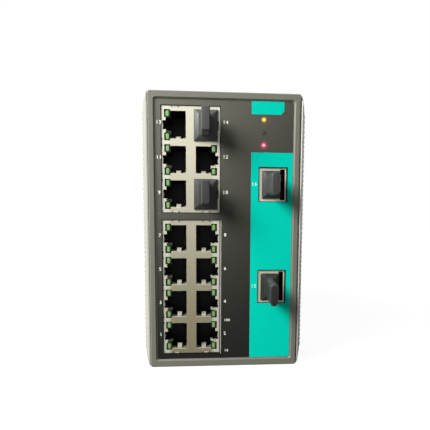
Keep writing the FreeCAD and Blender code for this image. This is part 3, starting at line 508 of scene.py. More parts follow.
class Paint(Enum):
    """Every finish of the switch, for the CAD nodes and the pieces added to them."""

    BEZEL = Finish(
        "cast bezel paint", "6c6b60", "6c6b60", 0.42, specular=0.25, grain_scale=3200,
        contrast=0.06, bump=0.25, wear=0.35, wear_colour="a9a79d", dust=0.2, specks=0.04,
        soft_edge=0.25)
    SHELL = Finish(
        "ribbed side coating", "a5a39a", "96948b", 0.5, specular=0.3, grain_scale=3000,
        contrast=0.06, bump=0.2, wear=0.3, wear_colour="e2e0d8", dust=0.15, soft_edge=0.2)
    # painted highlight: lighter than the shell, for the bright line on the right rim
    RIM = Finish(
        "rim highlight bead", "b4b2a8", "c2c0b6", 0.42, specular=0.3, grain_scale=3000, contrast=0.05)
    CHASSIS = Finish(
        "folded sheet paint", "85847a", "8c8b81", 0.5, grain_scale=2800, contrast=0.05, bump=0.2,
        wear=0.3, dust=0.4, specks=0.04, soft_edge=0.2)
    # film: the height fade and slant paint a reflection, lighter towards the top and the left
    FILM = Finish(
        "panel film", "191917", "626258", 0.5, specular=0.08, grain_scale=4500, mottle_scale=35,
        contrast=0.05, bump=0.05, dust=0.06, smudge=0.2, specks=0.08, fade_low=-10.0,
        fade_high=190.0, slant=1.0)
    ACCENT = Finish(
        "green print", "00ccb2", "00bfa8", 0.5, specular=0.05, grain_scale=4500, mottle_scale=30,
        contrast=0.03, bump=0.05, smudge=0.15)
    PLATE = Finish("front plate steel", "7a7a74", "8a8a84", 0.5, metal=0.5, grain_scale=2000)
    # shields: the height fade paints a reflection, lighter towards the top
    SHIELD = Finish(
        "nickel shield", "79735a", "c6c3af", 0.45, metal=0.15, specular=0.2, grain_scale=1800,
        mottle_scale=160, contrast=0.14, bump=0.12, wear=0.6, wear_colour="f2f0e2", dust=0.08,
        smudge=0.15, fade_high=150.0, soft_edge=0.15, band_colour="c9c8bc")
    FRAME = Finish(
        "plated socket frame", "bcbaa4", "c4c2ae", 0.42, metal=0.15, specular=0.2, grain_scale=1800,
        mottle_scale=160, contrast=0.12, bump=0.12, wear=0.6, wear_colour="f2f0e2", soft_edge=0.15)
    RAMP = Finish(
        "shaded fold", "6c6a5e", "86847a", 0.5, metal=0.1, specular=0.2, grain_scale=2200,
        contrast=0.2)
    TAB = Finish(
        "bright spring tab", "a3a08e", "bab7a6", 0.4, metal=0.2, specular=0.3, grain_scale=2200,
        contrast=0.15)
    SOCKET = Finish("socket moulding", "070707", "0a0a0a", 0.6, specular=0.2)
    CONTACT = Finish(
        "gilt contact", "7a5c28", "8a6a32", 0.3, metal=0.9, grain_scale=3000, contrast=0.08)
    # plugs: the height fade paints light, lighter the higher a plug sits; the dust and wear layers
    # also paint light on tops and edges
    PLUG = Finish(
        "dust plug moulding", "252624", "50514f", 0.28, specular=0.1, grain_scale=2600,
        contrast=0.12, bump=0.15, wear=0.5, wear_colour="b4b6b0", dust=0.5, dust_colour="9a9c97",
        smudge=0.3, fade_low=40.0, fade_high=150.0)
    # port lenses: a painted highlight, lighter in the middle, lies over this colour
    LENS = Finish(
        "pale port lens", "3c6430", "48733f", 0.28, specular=0.25, grain_scale=900,
        mottle_scale=400, contrast=0.3, bump=0.05, core_colour="8cb06c")
    PRINT = Finish("white print", "f0f0e8", "f4f4ee", 0.5, grain_scale=5000, contrast=0.06)
    PALE_PRINT = Finish("pale print", "b0f2e8", "bcf4ec", 0.5, grain_scale=5000, contrast=0.06)
    # painted highlight: pale line where the film's cut edge catches light, lighter towards the top
    CUT_EDGE = Finish(
        "painted highlight on the film's cut edge", "b6b6ac", "d0d0c6", 0.5, grain_scale=3000, contrast=0.2,
        fade_high=90.0)
    SCREW = Finish(
        "plated screw", "9a9a94", "a8a8a2", 0.32, metal=0.85, grain_scale=2200, contrast=0.12,
        wear=0.3)
    # painted shadow: near black, for cuts and gaps that lie in shade
    RECESS = Finish("painted shadow", "060606", "080808", 0.8, specular=0.1, grain_scale=2000)
    RAIL = Finish(
        "rail plate", "a2a29c", "aeaea8", 0.38, metal=0.7, grain_scale=1500, mottle_scale=120,
        wear=0.3, soft_edge=0.2)
    SPRING = Finish(
        "spring steel", "b0b0aa", "bcbcb6", 0.25, metal=0.9, grain_scale=1500, contrast=0.08)
    BOARD = Finish("board mask", "1b5230", "1f5a34", 0.35, grain_scale=1200, contrast=0.15)
    CHIP = Finish("chip moulding", "1a1a1b", "202021", 0.5, grain_scale=2600)
    PAD = Finish("heat pad", "868990", "90939a", 0.8, grain_scale=1500)
    TERMINAL = Finish(
        "terminal moulding", "2a7f45", "33904f", 0.38, grain_scale=2400, contrast=0.06, bump=0.12,
        wear=0.2, wear_colour="7fc090", dust=0.2, soft_edge=0.15)
    SWITCH = Finish(
        "slide switch moulding", "a33327", "b23a2e", 0.4, grain_scale=2400, contrast=0.06,
        soft_edge=0.1)
    SLIDER = Finish(
        "slider moulding", "dedcd4", "e8e6de", 0.4, grain_scale=2400, contrast=0.04, soft_edge=0.1)


CAD_NODES = {
    Paint.BEZEL: ("front_bezel",),
    Paint.SHELL: ("left_side_shell", "right_side_shell"),
    Paint.CHASSIS: ("chassis",),
    Paint.FILM: ("panel_overlay",),
    Paint.ACCENT: ("accent_strip",),
    Paint.PLATE: ("front_plate",),
    Paint.SHIELD: ("lower_jack_shield", "upper_jack_shield"),
    Paint.FRAME: ("jack_15_shield", "jack_16_shield"),
    Paint.SOCKET: ("lower_jack_body", "upper_jack_body", "jack_15_body", "jack_16_body"),
    Paint.CONTACT: ("jack_contacts",),
    Paint.LENS: ("lower_light_pipes", "upper_light_pipes"),
    Paint.PLUG: ("dust_plug_10", "dust_plug_14", "dust_plug_15", "dust_plug_16"),
    Paint.SCREW: ("plate_screws", "rear_screws", "ground_screw", "din_plate_screws",
                  "terminal_screws"),
    Paint.RAIL: ("din_rail_plate",),
    Paint.SPRING: ("din_rail_spring",),
    Paint.BOARD: ("main_board", "power_board", "link_board", "dip_board"),
    Paint.CHIP: ("switch_chip", "line_transformers", "power_converter", "alarm_relay"),
    Paint.PAD: ("heat_pad",),
    Paint.TERMINAL: ("terminal_header", "terminal_plug"),
    Paint.SWITCH: ("slide_switch_bodies",),
    Paint.SLIDER: tuple(f"slider_{number:02d}" for number in range(1, 17)),
}


# -------------------- mesh helpers


@dataclass(frozen=True)
class Extent:
    """Ranges of a CAD node along each axis, in millimetres."""

    x0: float
    x1: float
    y0: float
    y1: float
    z0: float
    z1: float

    @classmethod
    def of(cls, node: str) -> Extent:
        """Measure a CAD node."""
        low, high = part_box(node)
        return cls(low.x / MM, high.x / MM, low.y / MM, high.y / MM, low.z / MM, high.z / MM)

    @property
    def middle_x(self) -> float:
        """Middle across."""
        return (self.x0 + self.x1) / 2

    @property
    def middle_y(self) -> float:
        """Middle from front to back."""
        return (self.y0 + self.y1) / 2

    @property
    def middle_z(self) -> float:
        """Middle height."""
        return (self.z0 + self.z1) / 2


class Draft:
    """A mesh in the making: its sizes are given in millimetres and kept in metres."""

    def __init__(self, name: str, *sources: Mesh) -> None:
        """Start from nothing, or from a copy of some meshes.

        Args:
            name: the mesh's name.
            sources: meshes that it starts from.
        """
        self.name = name
        self.bm = bmesh.new()
        for source in sources:
            self.bm.from_mesh(source)

    def close(self) -> Mesh:
        """Turn it into a mesh as it is.

        Returns:
            The new mesh.
        """
        mesh = bpy.data.meshes.new(self.name)
        self.bm.to_mesh(mesh)
        self.bm.free()
        return mesh

    def finish(self, smooth: float = 0.0) -> Mesh:
        """Turn it into a mesh with outward normals.

        Args:
            smooth: largest angle that is shaded smooth, in degrees, or 0 for flat faces.

        Returns:
            The new mesh.
        """
        bmesh.ops.recalc_face_normals(self.bm, faces=self.bm.faces)
        mesh = self.close()
        if smooth:
            mesh.shade_smooth()
            mesh.set_sharp_from_angle(angle=math.radians(smooth))
        return mesh

    def add_block(self, low: Triple, high: Triple) -> None:
        """Add a block between its lowest and its highest corner.

        Args:
            low: the lowest corner.
            high: the highest corner.
        """
        base = ((low[0], low[1]), (high[0], low[1]), (high[0], high[1]), (low[0], high[1]))
        corners = [self.bm.verts.new(mm(x, y, z)) for z in (low[2], high[2]) for x, y in base]
        for face in ((3, 2, 1, 0), (4, 5, 6, 7), (0, 1, 5, 4), (1, 2, 6, 5), (2, 3, 7, 6),
                     (3, 0, 4, 7)):
            self.bm.faces.new([corners[i] for i in face])

    def add_ring(self, places: list[Vector]) -> list[bmesh.types.BMVert]:
        """Add a ring of points, in metres."""
        return [self.bm.verts.new(place) for place in places]

    def add_wall(self, low: list[bmesh.types.BMVert], high: list[bmesh.types.BMVert]) -> None:
        """Add the faces between two rings of as many points."""
        for i in range(len(low)):
            j = (i + 1) % len(low)
            self.bm.faces.new((low[i], low[j], high[j], high[i]))

    def add_prism(self, outline: list[Vector], depth: Vector) -> None:
        """Add a prism from its near face and the way it is drawn out, both in metres.

        Args:
            outline: its near face, in metres.
            depth: the way it is drawn out, in metres.
        """
        near = self.add_ring(outline)
        far = self.add_ring([place + depth for place in outline])
        self.bm.faces.new(near)
        self.bm.faces.new(far[::-1])
        self.add_wall(far, near)

    def round(self, width: float, segments: int, edges: list | None = None) -> None:
        """Round some edges, or all of them."""
        bmesh.ops.bevel(self.bm, geom=list(self.bm.edges) if edges is None else edges,
                        offset=width * MM, offset_type="OFFSET", profile=0.5, segments=segments,
                        affect="EDGES", clamp_overlap=True)

    def mirrored(self) -> Mesh:
        """Turn it over the plane x = 0, with its faces still outward, and close it.

        Returns:
            The new mesh.
        """
        for vert in self.bm.verts:
            vert.co.x = -vert.co.x
        bmesh.ops.reverse_faces(self.bm, faces=self.bm.faces)
        return self.close()

    def softened(self, width: float, segments: int) -> Mesh:
        """Merge its seams, round its sharp edges and finish it.

        Args:
            width: width of the rounding.
            segments: faces across the rounding.

        Returns:
            The new mesh.
        """
        bm = self.bm
        bmesh.ops.remove_doubles(bm, verts=bm.verts, dist=1e-6)
        bmesh.ops.dissolve_limit(bm, angle_limit=math.radians(0.5), verts=bm.verts, edges=bm.edges)
        self.round(width, segments, [edge for edge in bm.edges if len(edge.link_faces) == 2
                                     and edge.calc_face_angle() > math.radians(15)])
        return self.finish(smooth=40.0)


# -------------------- repeating trees


class PatternTrees:
    """Geometry trees that repeat a small item over the switch."""

    def __init__(self) -> None:
        """Build both trees."""
        self.columns = self._columns()
        self.places = self._places()

    @staticmethod
    def _begin(name: str, **inputs: str) -> tuple[Net, Outputs]:
        """Start a geometry tree.

        Args:
            name: the tree's name.
            inputs: the kind of each input but the geometry, by its name.

        Returns:
            The tree's net, and the inputs as the nodes inside read them.
        """
        tree = bpy.data.node_groups.new(name, "GeometryNodeTree")
        for label, kind in {"Geometry": "Geometry", **inputs}.items():
            tree.interface.new_socket(label, in_out="INPUT", socket_type=f"NodeSocket{kind}")
        tree.interface.new_socket("Geometry", in_out="OUTPUT", socket_type="NodeSocketGeometry")
        net = Net(tree)
        return net, net.node("NodeGroupInput").outputs

    @staticmethod
    def _end(net: Net, spread: Socket,
               finish: Socket) -> Tree:
        """End a tree in real geometry with its material, and give the tree.

        Args:
            net: the tree's net.
            spread: the items in their places.
            finish: their material.

        Returns:
            The finished tree.
        """
        real = net.node("GeometryNodeRealizeInstances", {"Geometry": spread}).outputs[0]
        paint = net.node("GeometryNodeSetMaterial", {"Geometry": real, "Material": finish})
        net.node("NodeGroupOutput", {"Geometry": paint.outputs[0]})
        return net.tree

    @staticmethod
    def _item(net: Net, source: Socket) -> Socket:
        """Read the mesh of an item."""
        return net.node("GeometryNodeObjectInfo", {"Object": source}).outputs["Geometry"]

    def _columns(self) -> Tree:
        """Two handed items in rows up a socket block.

        Returns:
            The tree.
        """
        net, start = self._begin("port columns", Right="Object", Left="Object", Rows="Int",
                                Pitch="Float", First="Float", Middle="Float", Finish="Material")
        foot = net.node("ShaderNodeCombineXYZ", {"X": start["Middle"], "Z": start["First"]})
        step = net.node("ShaderNodeCombineXYZ", {"Z": start["Pitch"]})
        line = net.node("GeometryNodeMeshLine", {
            "Count": start["Rows"], "Start Location": foot.outputs[0], "Offset": step.outputs[0]},
            mode="OFFSET")
        both = net.node("GeometryNodeJoinGeometry")
        for label in ("Right", "Left"):
            spread = net.node("GeometryNodeInstanceOnPoints", {
                "Points": line.outputs["Mesh"], "Instance": self._item(net, start[label])})
            net.feed(both.inputs, {"Geometry": spread.outputs["Instances"]})
        return self._end(net, both.outputs["Geometry"], start["Finish"])

    def _places(self) -> Tree:
        """One item at each point of the carrier, all turned alike.

        Returns:
            The tree.
        """
        net, start = self._begin("set places", Item="Object", Turn="Vector", Finish="Material")
        turn = net.node("FunctionNodeEulerToRotation", {"Euler": start["Turn"]})
        spread = net.node("GeometryNodeInstanceOnPoints", {
            "Points": start["Geometry"], "Instance": self._item(net, start["Item"]),
            "Rotation": turn.outputs["Rotation"]})
        return self._end(net, spread.outputs["Instances"], start["Finish"])

    @staticmethod
    def grow(name: str, tree: Tree, points: list[Vector],
             values: dict[str, object]) -> Mesh:
        """Run a tree on a set of points and keep the result as a plain mesh.

        Args:
            name: the new mesh's name.
            tree: the geometry tree.
            points: places in metres, or none where the tree makes its own.
            values: inputs by name; a mesh stands for an item.

        Returns:
            The new mesh, in place.
        """
        carrier = bpy.data.meshes.new(name)
        carrier.from_pydata([tuple(point) for point in points], [], [])
        holder = show(name, carrier)
        spares = [holder]
        modifier = holder.modifiers.new("pattern", "NODES")
        modifier.node_group = tree
        for socket in tree.interface.items_tree:
            if socket.in_out == "INPUT" and socket.name in values:
                value = values[socket.name]
                if isinstance(value, Mesh):
                    value = show(f"{name} item", value)
                    spares.append(value)
                modifier[socket.identifier] = value
        result = as_mesh(holder)
        holder.modifiers.remove(modifier)
        for spare in spares:
            bpy.data.objects.remove(spare)
        result.name = name
        return result


# -------------------- workshop


class Workshop:
    """Keeps the built materials and adds finished pieces to the object."""

    def __init__(self, nodes: dict[str, bpy.types.Object]) -> None:
        """Build the shared groups, the repeating trees and every finish.

        Args:
            nodes: the CAD nodes by name.
        """
        self.nodes = nodes
        groups = ShaderGroups()
        self.trees = PatternTrees()
        self.materials = {paint: paint.value.build(groups) for paint in Paint}

    def dress_node(self, name: str, material: Material) -> None:
        """Give a CAD node one material.

        Args:
            name: the node's name.
            material: its finish.
        """
        node = self.nodes[name]
        if not node.material_slots:
            node.data.materials.append(material)
        for slot in node.material_slots:
            slot.material = material

    def dress_all(self) -> None:
        """Dress every CAD node of the table."""
        for paint, names in CAD_NODES.items():
            for name in names:
                self.dress_node(name, self.materials[paint])
        LOG.info("dressed %d CAD nodes", len(self.nodes))

    def add(self, name: str, mesh: Mesh, paint: Paint, slot: str,
            replaces: tuple[str, ...] = ()) -> None:
        """Put a finished mesh in the scene as a piece that rides on the housing.

        Args:
            name: the piece's name.
            mesh: its mesh, in place and in metres.
            paint: its finish.
            slot: the record's slot that the finish stands for; not used.
            replaces: CAD nodes it stands for.
        """
        mesh.materials.clear()
        mesh.materials.append(self.materials[paint])
        piece = show(name, mesh)
        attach(piece, HOUSING)
        if replaces:
            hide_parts(*replaces)
        LOG.info("%s: %d faces", name, len(mesh.polygons))


# -------------------- socket details


@dataclass
class SocketBlock:
    """Lenses, spring tabs and the painted shade in the shield's small cuts round the ports of a
    stacked block.

    Items are made for a port on the right of the block's middle line, with x from that line,
    depths from the shield's face and heights from the port's middle.
    """

    name: str
    rows: int
    lens_middle: float = 11.15
    lens_offset: float = 5.4
    lens_width: float = 2.0
    lens_height: float = 3.2
    lens_depths: Pair = (0.15, 8.0)
    lens_corner: float = 0.75
    lens_rim: float = 0.5
    lens_crown: float = 0.02
    lens_border: float = 0.22
    # reach and level of the painted highlight in the middle of each lens
    core_reach: Pair = (0.85, 1.4)
    core_level: float = 1.3
    port_half: float = 6.6
    port_inner: float = 2.35
    port_outer: float = 9.85
    tab_width: float = 2.2
    tab_profile: tuple[Pair, ...] = ((0.15, 0.0), (0.15, 0.55), (0.5, 0.6), (3.2, 1.9),
                                     (3.35, 1.7), (0.6, 0.0))
    tab_foot_depths: Pair = (0.1, 0.45)
    tab_foot_rise: float = 0.22
    tab_foot_gap: float = 0.05
    ramp_gap: float = 0.35
    ramp_inset: float = 0.1
    ramp_depth: float = 1.4
    ramp_thickness: float = 0.3
    ramp_rises: Pair = (0.35, 1.15)
    finger_ends: tuple[Pair, Pair] = ((11.8, 0.3), (9.7, 2.6))
    finger_posts: tuple[Pair, Pair] = ((11.6, 0.52), (9.9, 2.38))
    finger_foot: float = -3.75
    finger_top: float = -1.95
    slat_lifts: tuple[float, ...] = (0.0, 0.5, 1.0, 1.5)
    slat_slopes: Pair = (0.62, 0.85)
    slat_heights: Pair = (0.2, 0.25)
    slat_depth: Triple = (0.1, 0.12, 0.0)
    post_slope: float = 0.12
    clip: tuple[Triple, Triple] = ((13.15, 0.5, -1.2), (13.4, 1.6, 0.9))
    clip_edge: float = 0.08
    cut_width: float = 0.5
    cut_height: float = 0.55
    cut_places: Pair = (5.9, 9.0)
    cut_inset: float = 0.05
    cut_depths: Pair = (-0.03, 0.1)
    notch_offset: float = 1.5
    notch_half: float = 0.4
    notch_across: Pair = (-0.05, 0.35)
    lug_gap: float = 0.05
    lug_proud: float = 0.1
    lug_height: float = 0.65
    lug_depths: Pair = (-0.12, 0.1)
    lug_edge: float = 0.1

    def build(self, shop: Workshop) -> None:
        """Make and dress everything of this block.

        Args:
            shop: keeps the finishes and takes the pieces.
        """
        shield = Extent.of(f"{self.name}_jack_shield")
        face = shield.y0
        first = shield.middle_z - ROW_PITCH * (self.rows - 1) / 2
        layout = {"Rows": self.rows, "Pitch": ROW_PITCH * MM, "First": first * MM,
                  "Middle": shield.middle_x * MM}
        self._repeat(shop, "lenses", self._lens_pair(face), Paint.LENS, layout, "light_pipe",
                     (f"{self.name}_light_pipes",))
        for label, item, paint in (("spring_tabs", self._spring_tab(face), Paint.TAB),
                                   ("port_ramps", self._ramps(face), Paint.RAMP),
                                   ("side_springs", self._side_spring(face), Paint.TAB),
                                   ("latch_clips", self._latch_clip(face), Paint.TAB)):
            self._repeat(shop, label, item, paint, layout, "jack_shield")
        self._cuts(shop, shield, first)
        self._lugs(shop, shield)

    def _repeat(self, shop: Workshop, label: str, item: Mesh, paint: Paint,
                layout: dict[str, object], slot: str, replaces: tuple[str, ...] = ()) -> None:
        """Repeat a right-hand item and its mirror image over the block's ports.

        Args:
            shop: keeps the materials and the trees.
            label: end of the piece's name.
            item: the right-hand item.
            paint: its finish.
            layout: number of rows, their pitch, and the places of the first and the middle.
            slot: the record's slot that the finish stands for.
            replaces: CAD nodes that the piece stands for.
        """
        name = f"{self.name}_{label}"
        values = {**layout, "Right": item, "Left": Draft(f"{name} left", item).mirrored(),
                  "Finish": shop.materials[paint]}
        mesh = PatternTrees.grow(name, shop.trees.columns, [], values)
        shop.add(name, mesh, paint, slot, replaces)

    def _lens_pair(self, face: float) -> Mesh:
        """Two domed lenses beside a port, with rounded corners and a painted highlight in the
        middle.

        Args:
            face: where the shield's face lies.

        Returns:
            The item's mesh, with the painted highlight's strength as an attribute.
        """
        draft = Draft("lens pair")
        bm = draft.bm
        near, far = (face + depth for depth in self.lens_depths)
        half, rise = self.lens_width / 2, self.lens_height / 2
        for middle in (-self.lens_offset, self.lens_offset):
            draft.add_block((self.lens_middle - half, near, middle - rise),
                            (self.lens_middle + half, far, middle + rise))
        draft.round(self.lens_corner, 4, [edge for edge in bm.edges if abs(
            (edge.verts[0].co - edge.verts[1].co).y) > 1 * MM])
        front = near * MM
        draft.round(self.lens_rim, 3, [edge for edge in bm.edges if all(
            abs(vert.co.y - front) < 1e-6 for vert in edge.verts)])
        for vert in [vert for vert in bm.verts if abs(vert.co.y - front) < 1e-6]:
            vert.co.y -= self.lens_crown * MM
        caps = [cap for cap in bm.faces
                if cap.normal.y < -0.95 and cap.calc_center_median().y < front]
        bmesh.ops.inset_individual(bm, faces=caps, thickness=self.lens_border * MM)
        # core: strength of the painted highlight, 1 in the middle of each lens face
        core = bm.verts.layers.float.new("core")
        wide, tall = self.core_reach
        for vert in bm.verts:
            if vert.co.y < front:
                middle = math.copysign(self.lens_offset, vert.co.z)
                gap = math.hypot((vert.co.x / MM - self.lens_middle) / wide,
                                 (vert.co.z / MM - middle) / tall)
                vert[core] = max(0.0, min(1.0, self.core_level - gap))
        return draft.finish(smooth=50.0)

    def _spring_tab(self, face: float) -> Mesh:
        """Bent tab in the middle of a port's lower edge, with its bright foot.

        Args:
            face: where the shield's face lies.

        Returns:
            The item's mesh.
        """
        draft = Draft("spring tab")
        left = (self.port_inner + self.port_outer - self.tab_width) / 2
        foot = -self.port_half
        outline = [mm(left, face + depth, foot + rise) for depth, rise in self.tab_profile]
        draft.add_prism(outline, mm(self.tab_width, 0, 0))
        near, far = (face + depth for depth in self.tab_foot_depths)
        draft.add_block((self.port_inner + self.tab_foot_gap, near, foot),
                        (self.port_outer, far, foot + self.tab_foot_rise))
        return draft.finish()

    def _ramps(self, face: float) -> Mesh:
        """Two low ramps that fall from the port's corners towards its tab.

        Args:
            face: where the shield's face lies.

        Returns:
            The item's mesh.
        """
        draft = Draft("port ramps")
        middle = (self.port_inner + self.port_outer) / 2
        clear = self.tab_width / 2 + self.ramp_gap
        foot, near = -self.port_half, face + self.ramp_depth
        low, high = self.ramp_rises
        for left, right, start, end in (
                (self.port_inner + self.ramp_inset, middle - clear, high, low),
                (middle + clear, self.port_outer - self.ramp_inset, low, high)):
            ramp = ((left, 0.0), (right, 0.0), (right, end), (left, start))
            draft.add_prism([mm(x, near, foot + rise) for x, rise in ramp],
                            mm(0, self.ramp_thickness, 0))
        return draft.finish()

    def _side_spring(self, face: float) -> Mesh:
        """Slotted spring finger that leans in from the shoulder below the latch.

        Args:
            face: where the shield's face lies.

        Returns:
            The item's mesh: four slats between two posts.
        """
        draft = Draft("side spring")
        depth = mm(*self.slat_depth)
        outer, inner = self.finger_ends
        for lift in self.slat_lifts:
            feet = [self.finger_foot + lift * slope for slope in self.slat_slopes]
            tops = [foot + height for foot, height in zip(feet, self.slat_heights)]
            corners = zip((outer, inner, inner, outer), (feet[0], feet[1], tops[1], tops[0]))
            draft.add_prism([mm(x, face + y, z) for (x, y), z in corners], depth)
        for start, end in ((outer, self.finger_posts[0]), (self.finger_posts[1], inner)):
            top = self.finger_top - (outer[0] - start[0]) * self.post_slope
            corners = zip((start, end, end, start), (self.finger_foot, self.finger_foot, top, top))
            draft.add_prism([mm(x, face + y, z) for (x, y), z in corners], depth)
        return draft.finish()

    def _latch_clip(self, face: float) -> Mesh:
        """Small bright clip at the outer wall of the latch notch.

        Args:
            face: where the shield's face lies.

        Returns:
            The item's mesh.
        """
        draft = Draft("latch clip")
        low, high = ((x, face + depth, z) for x, depth, z in self.clip)
        draft.add_block(low, high)
        draft.round(self.clip_edge, 2)
        return draft.finish()

    def _cuts(self, shop: Workshop, shield: Extent, first: float) -> None:
        """Paint the shade in the cuts beside the folded lugs at the shield's top, bottom and left
        edges, as dark plates on the shield's face.

        Args:
            shop: keeps the materials.
            shield: the block's shield.
            first: middle height of the lowest row.
        """
        draft = Draft("shield cut shade")
        half = self.cut_width / 2
        front, back = (shield.y0 + depth for depth in self.cut_depths)
        for side in (-1, 1):
            for place in self.cut_places:
                x = shield.middle_x + side * place
                for z in (shield.z0 + self.cut_inset,
                          shield.z1 - self.cut_inset - self.cut_height):
                    draft.add_block((x - half, front, z), (x + half, back, z + self.cut_height))
        left, right = (shield.x0 + across for across in self.notch_across)
        for row in range(self.rows - 1):
            middle = first + (row + 0.5) * ROW_PITCH
            for z in (middle - self.notch_offset, middle + self.notch_offset):
                draft.add_block((left, front, z - self.notch_half),
                                (right, back, z + self.notch_half))
        shop.add(f"{self.name}_shield_cuts", draft.finish(), Paint.RECESS, "jack_plastic")

    def _lugs(self, shop: Workshop, shield: Extent) -> None:
        """Make the bright lugs between the cuts at the shield's top and bottom edges.

        Args:
            shop: keeps the materials.
            shield: the block's shield.
        """
        draft = Draft("shield lugs")
        half = self.cut_width / 2
        near = self.cut_places[0] + half + self.lug_gap
        far = self.cut_places[1] - half - self.lug_gap
        front, back = (shield.y0 + depth for depth in self.lug_depths)
        for side in (-1, 1):
            left, right = sorted((shield.middle_x + side * near, shield.middle_x + side * far))
            for z in (shield.z0 - self.lug_proud, shield.z1 - self.lug_height):
                draft.add_block((left, front, z), (right, back, z + self.lug_height))
        draft.round(self.lug_edge, 2)
        shop.add(f"{self.name}_shield_lugs", draft.finish(), Paint.TAB, "jack_shield")


@dataclass
class FilmEdges:
    """Painted highlight on the film's cut edge where a window shows it, and painted shadow in the
    gap behind it.
    """

    line: float = 0.3
    gap: float = 0.45
    clear: float = 0.02
    thickness: float = 0.1
    side_gap: Pair = (0.05, 0.6)
    side_over: Pair = (-0.2, 0.25)
    top_gap: Pair = (0.02, 0.3)
    top_over: float = 0.1

    def build(self, shop: Workshop) -> None:
        """Make and dress the painted edge highlight and the painted gap shadows of each window.

        Args:
            shop: keeps the finishes and takes the pieces.
        """
        face = Extent.of("panel_overlay").y0
        strip = Extent.of("accent_strip").y0
        pale = Draft("film edge highlights")
        dark = Draft("painted gap shadows")
        lower = Extent.of("lower_jack_shield")
        edge, foot = lower.x1 + self.gap, lower.z0 - self.gap
        # dark bars paint the shadow in the gaps, pale bars paint the highlight on the cut edge
        self._bar(dark, (lower.x1 + self.clear, edge), (foot, lower.z1), face)
        self._bar(pale, (edge, edge + self.line), (foot, lower.z1), face)
        self._bar(dark, (lower.x0, edge), (foot, lower.z0 - self.clear), face)
        for port in (15, 16):
            frame = Extent.of(f"jack_{port}_shield")
            self._bar(dark, tuple(frame.x1 + gap for gap in self.side_gap),
                      (frame.z0 + self.side_over[0], frame.z1 + self.side_over[1]), strip)
            self._bar(dark, (frame.x0 - self.top_over, frame.x1 + self.top_over),
                      tuple(frame.z1 + gap for gap in self.top_gap), strip)
        shop.add("window_gaps", dark.finish(), Paint.RECESS, "jack_plastic")
        shop.add("film_cut_edges", pale.finish(), Paint.CUT_EDGE, "overlay_film")

    def _bar(self, draft: Draft, across: Pair, up: Pair, face: float) -> None:
        """Add a thin bar that stands just proud of a face."""
        draft.add_block((across[0], face - PRINT_LIFT, up[0]),
                        (across[1], face + self.thickness, up[1]))


@dataclass
class RimBead:
    """Thin rolled bead on the front rim of the right side extrusion, beside the bezel, lighter than
    the shell: a painted highlight line on that rim.
    """

    gap: float = 0.5
    width: float = 0.6
    sink: float = 0.2
    root: float = 0.3
    end: float = 3.0
    edge: float = 0.15

    def build(self, shop: Workshop) -> None:
        """Make and dress the bead.

        Args:
            shop: keeps the finishes and takes the pieces.
        """
        bezel = Extent.of("front_bezel")
        shell = Extent.of("right_side_shell")
        inner = bezel.x1 + self.gap
        draft = Draft("rim highlight bead")
        draft.add_block((inner, bezel.y0 + self.sink, shell.z0 + self.end),
                        (inner + self.width, shell.y0 + self.root, shell.z1 - self.end))
        draft.round(self.edge, 2)
        shop.add("rim_bead", draft.finish(smooth=50.0), Paint.RIM, "chassis_paint")


@dataclass
class DustPlugs:
    """The four moulded plugs with their edges rounded."""

    ports: tuple[int, ...] = (10, 14, 15, 16)
    edge: float = 0.35
    segments: int = 3

    def build(self, shop: Workshop) -> None:
        """Make and dress every plug.

        Args:
            shop: keeps the finishes and takes the pieces.
        """
        for port in self.ports:
            node = f"dust_plug_{port}"
            mesh = Draft(f"plug {port}", shop.nodes[node].data).softened(self.edge, self.segments)
            shop.add(f"moulded_plug_{port}", mesh, Paint.PLUG, "plug_rubber", (node,))


# -------------------- screws


class Drive(Enum):
    """What a screw's head is turned with."""

    CROSS = "cross"
    SLOT = "slot"


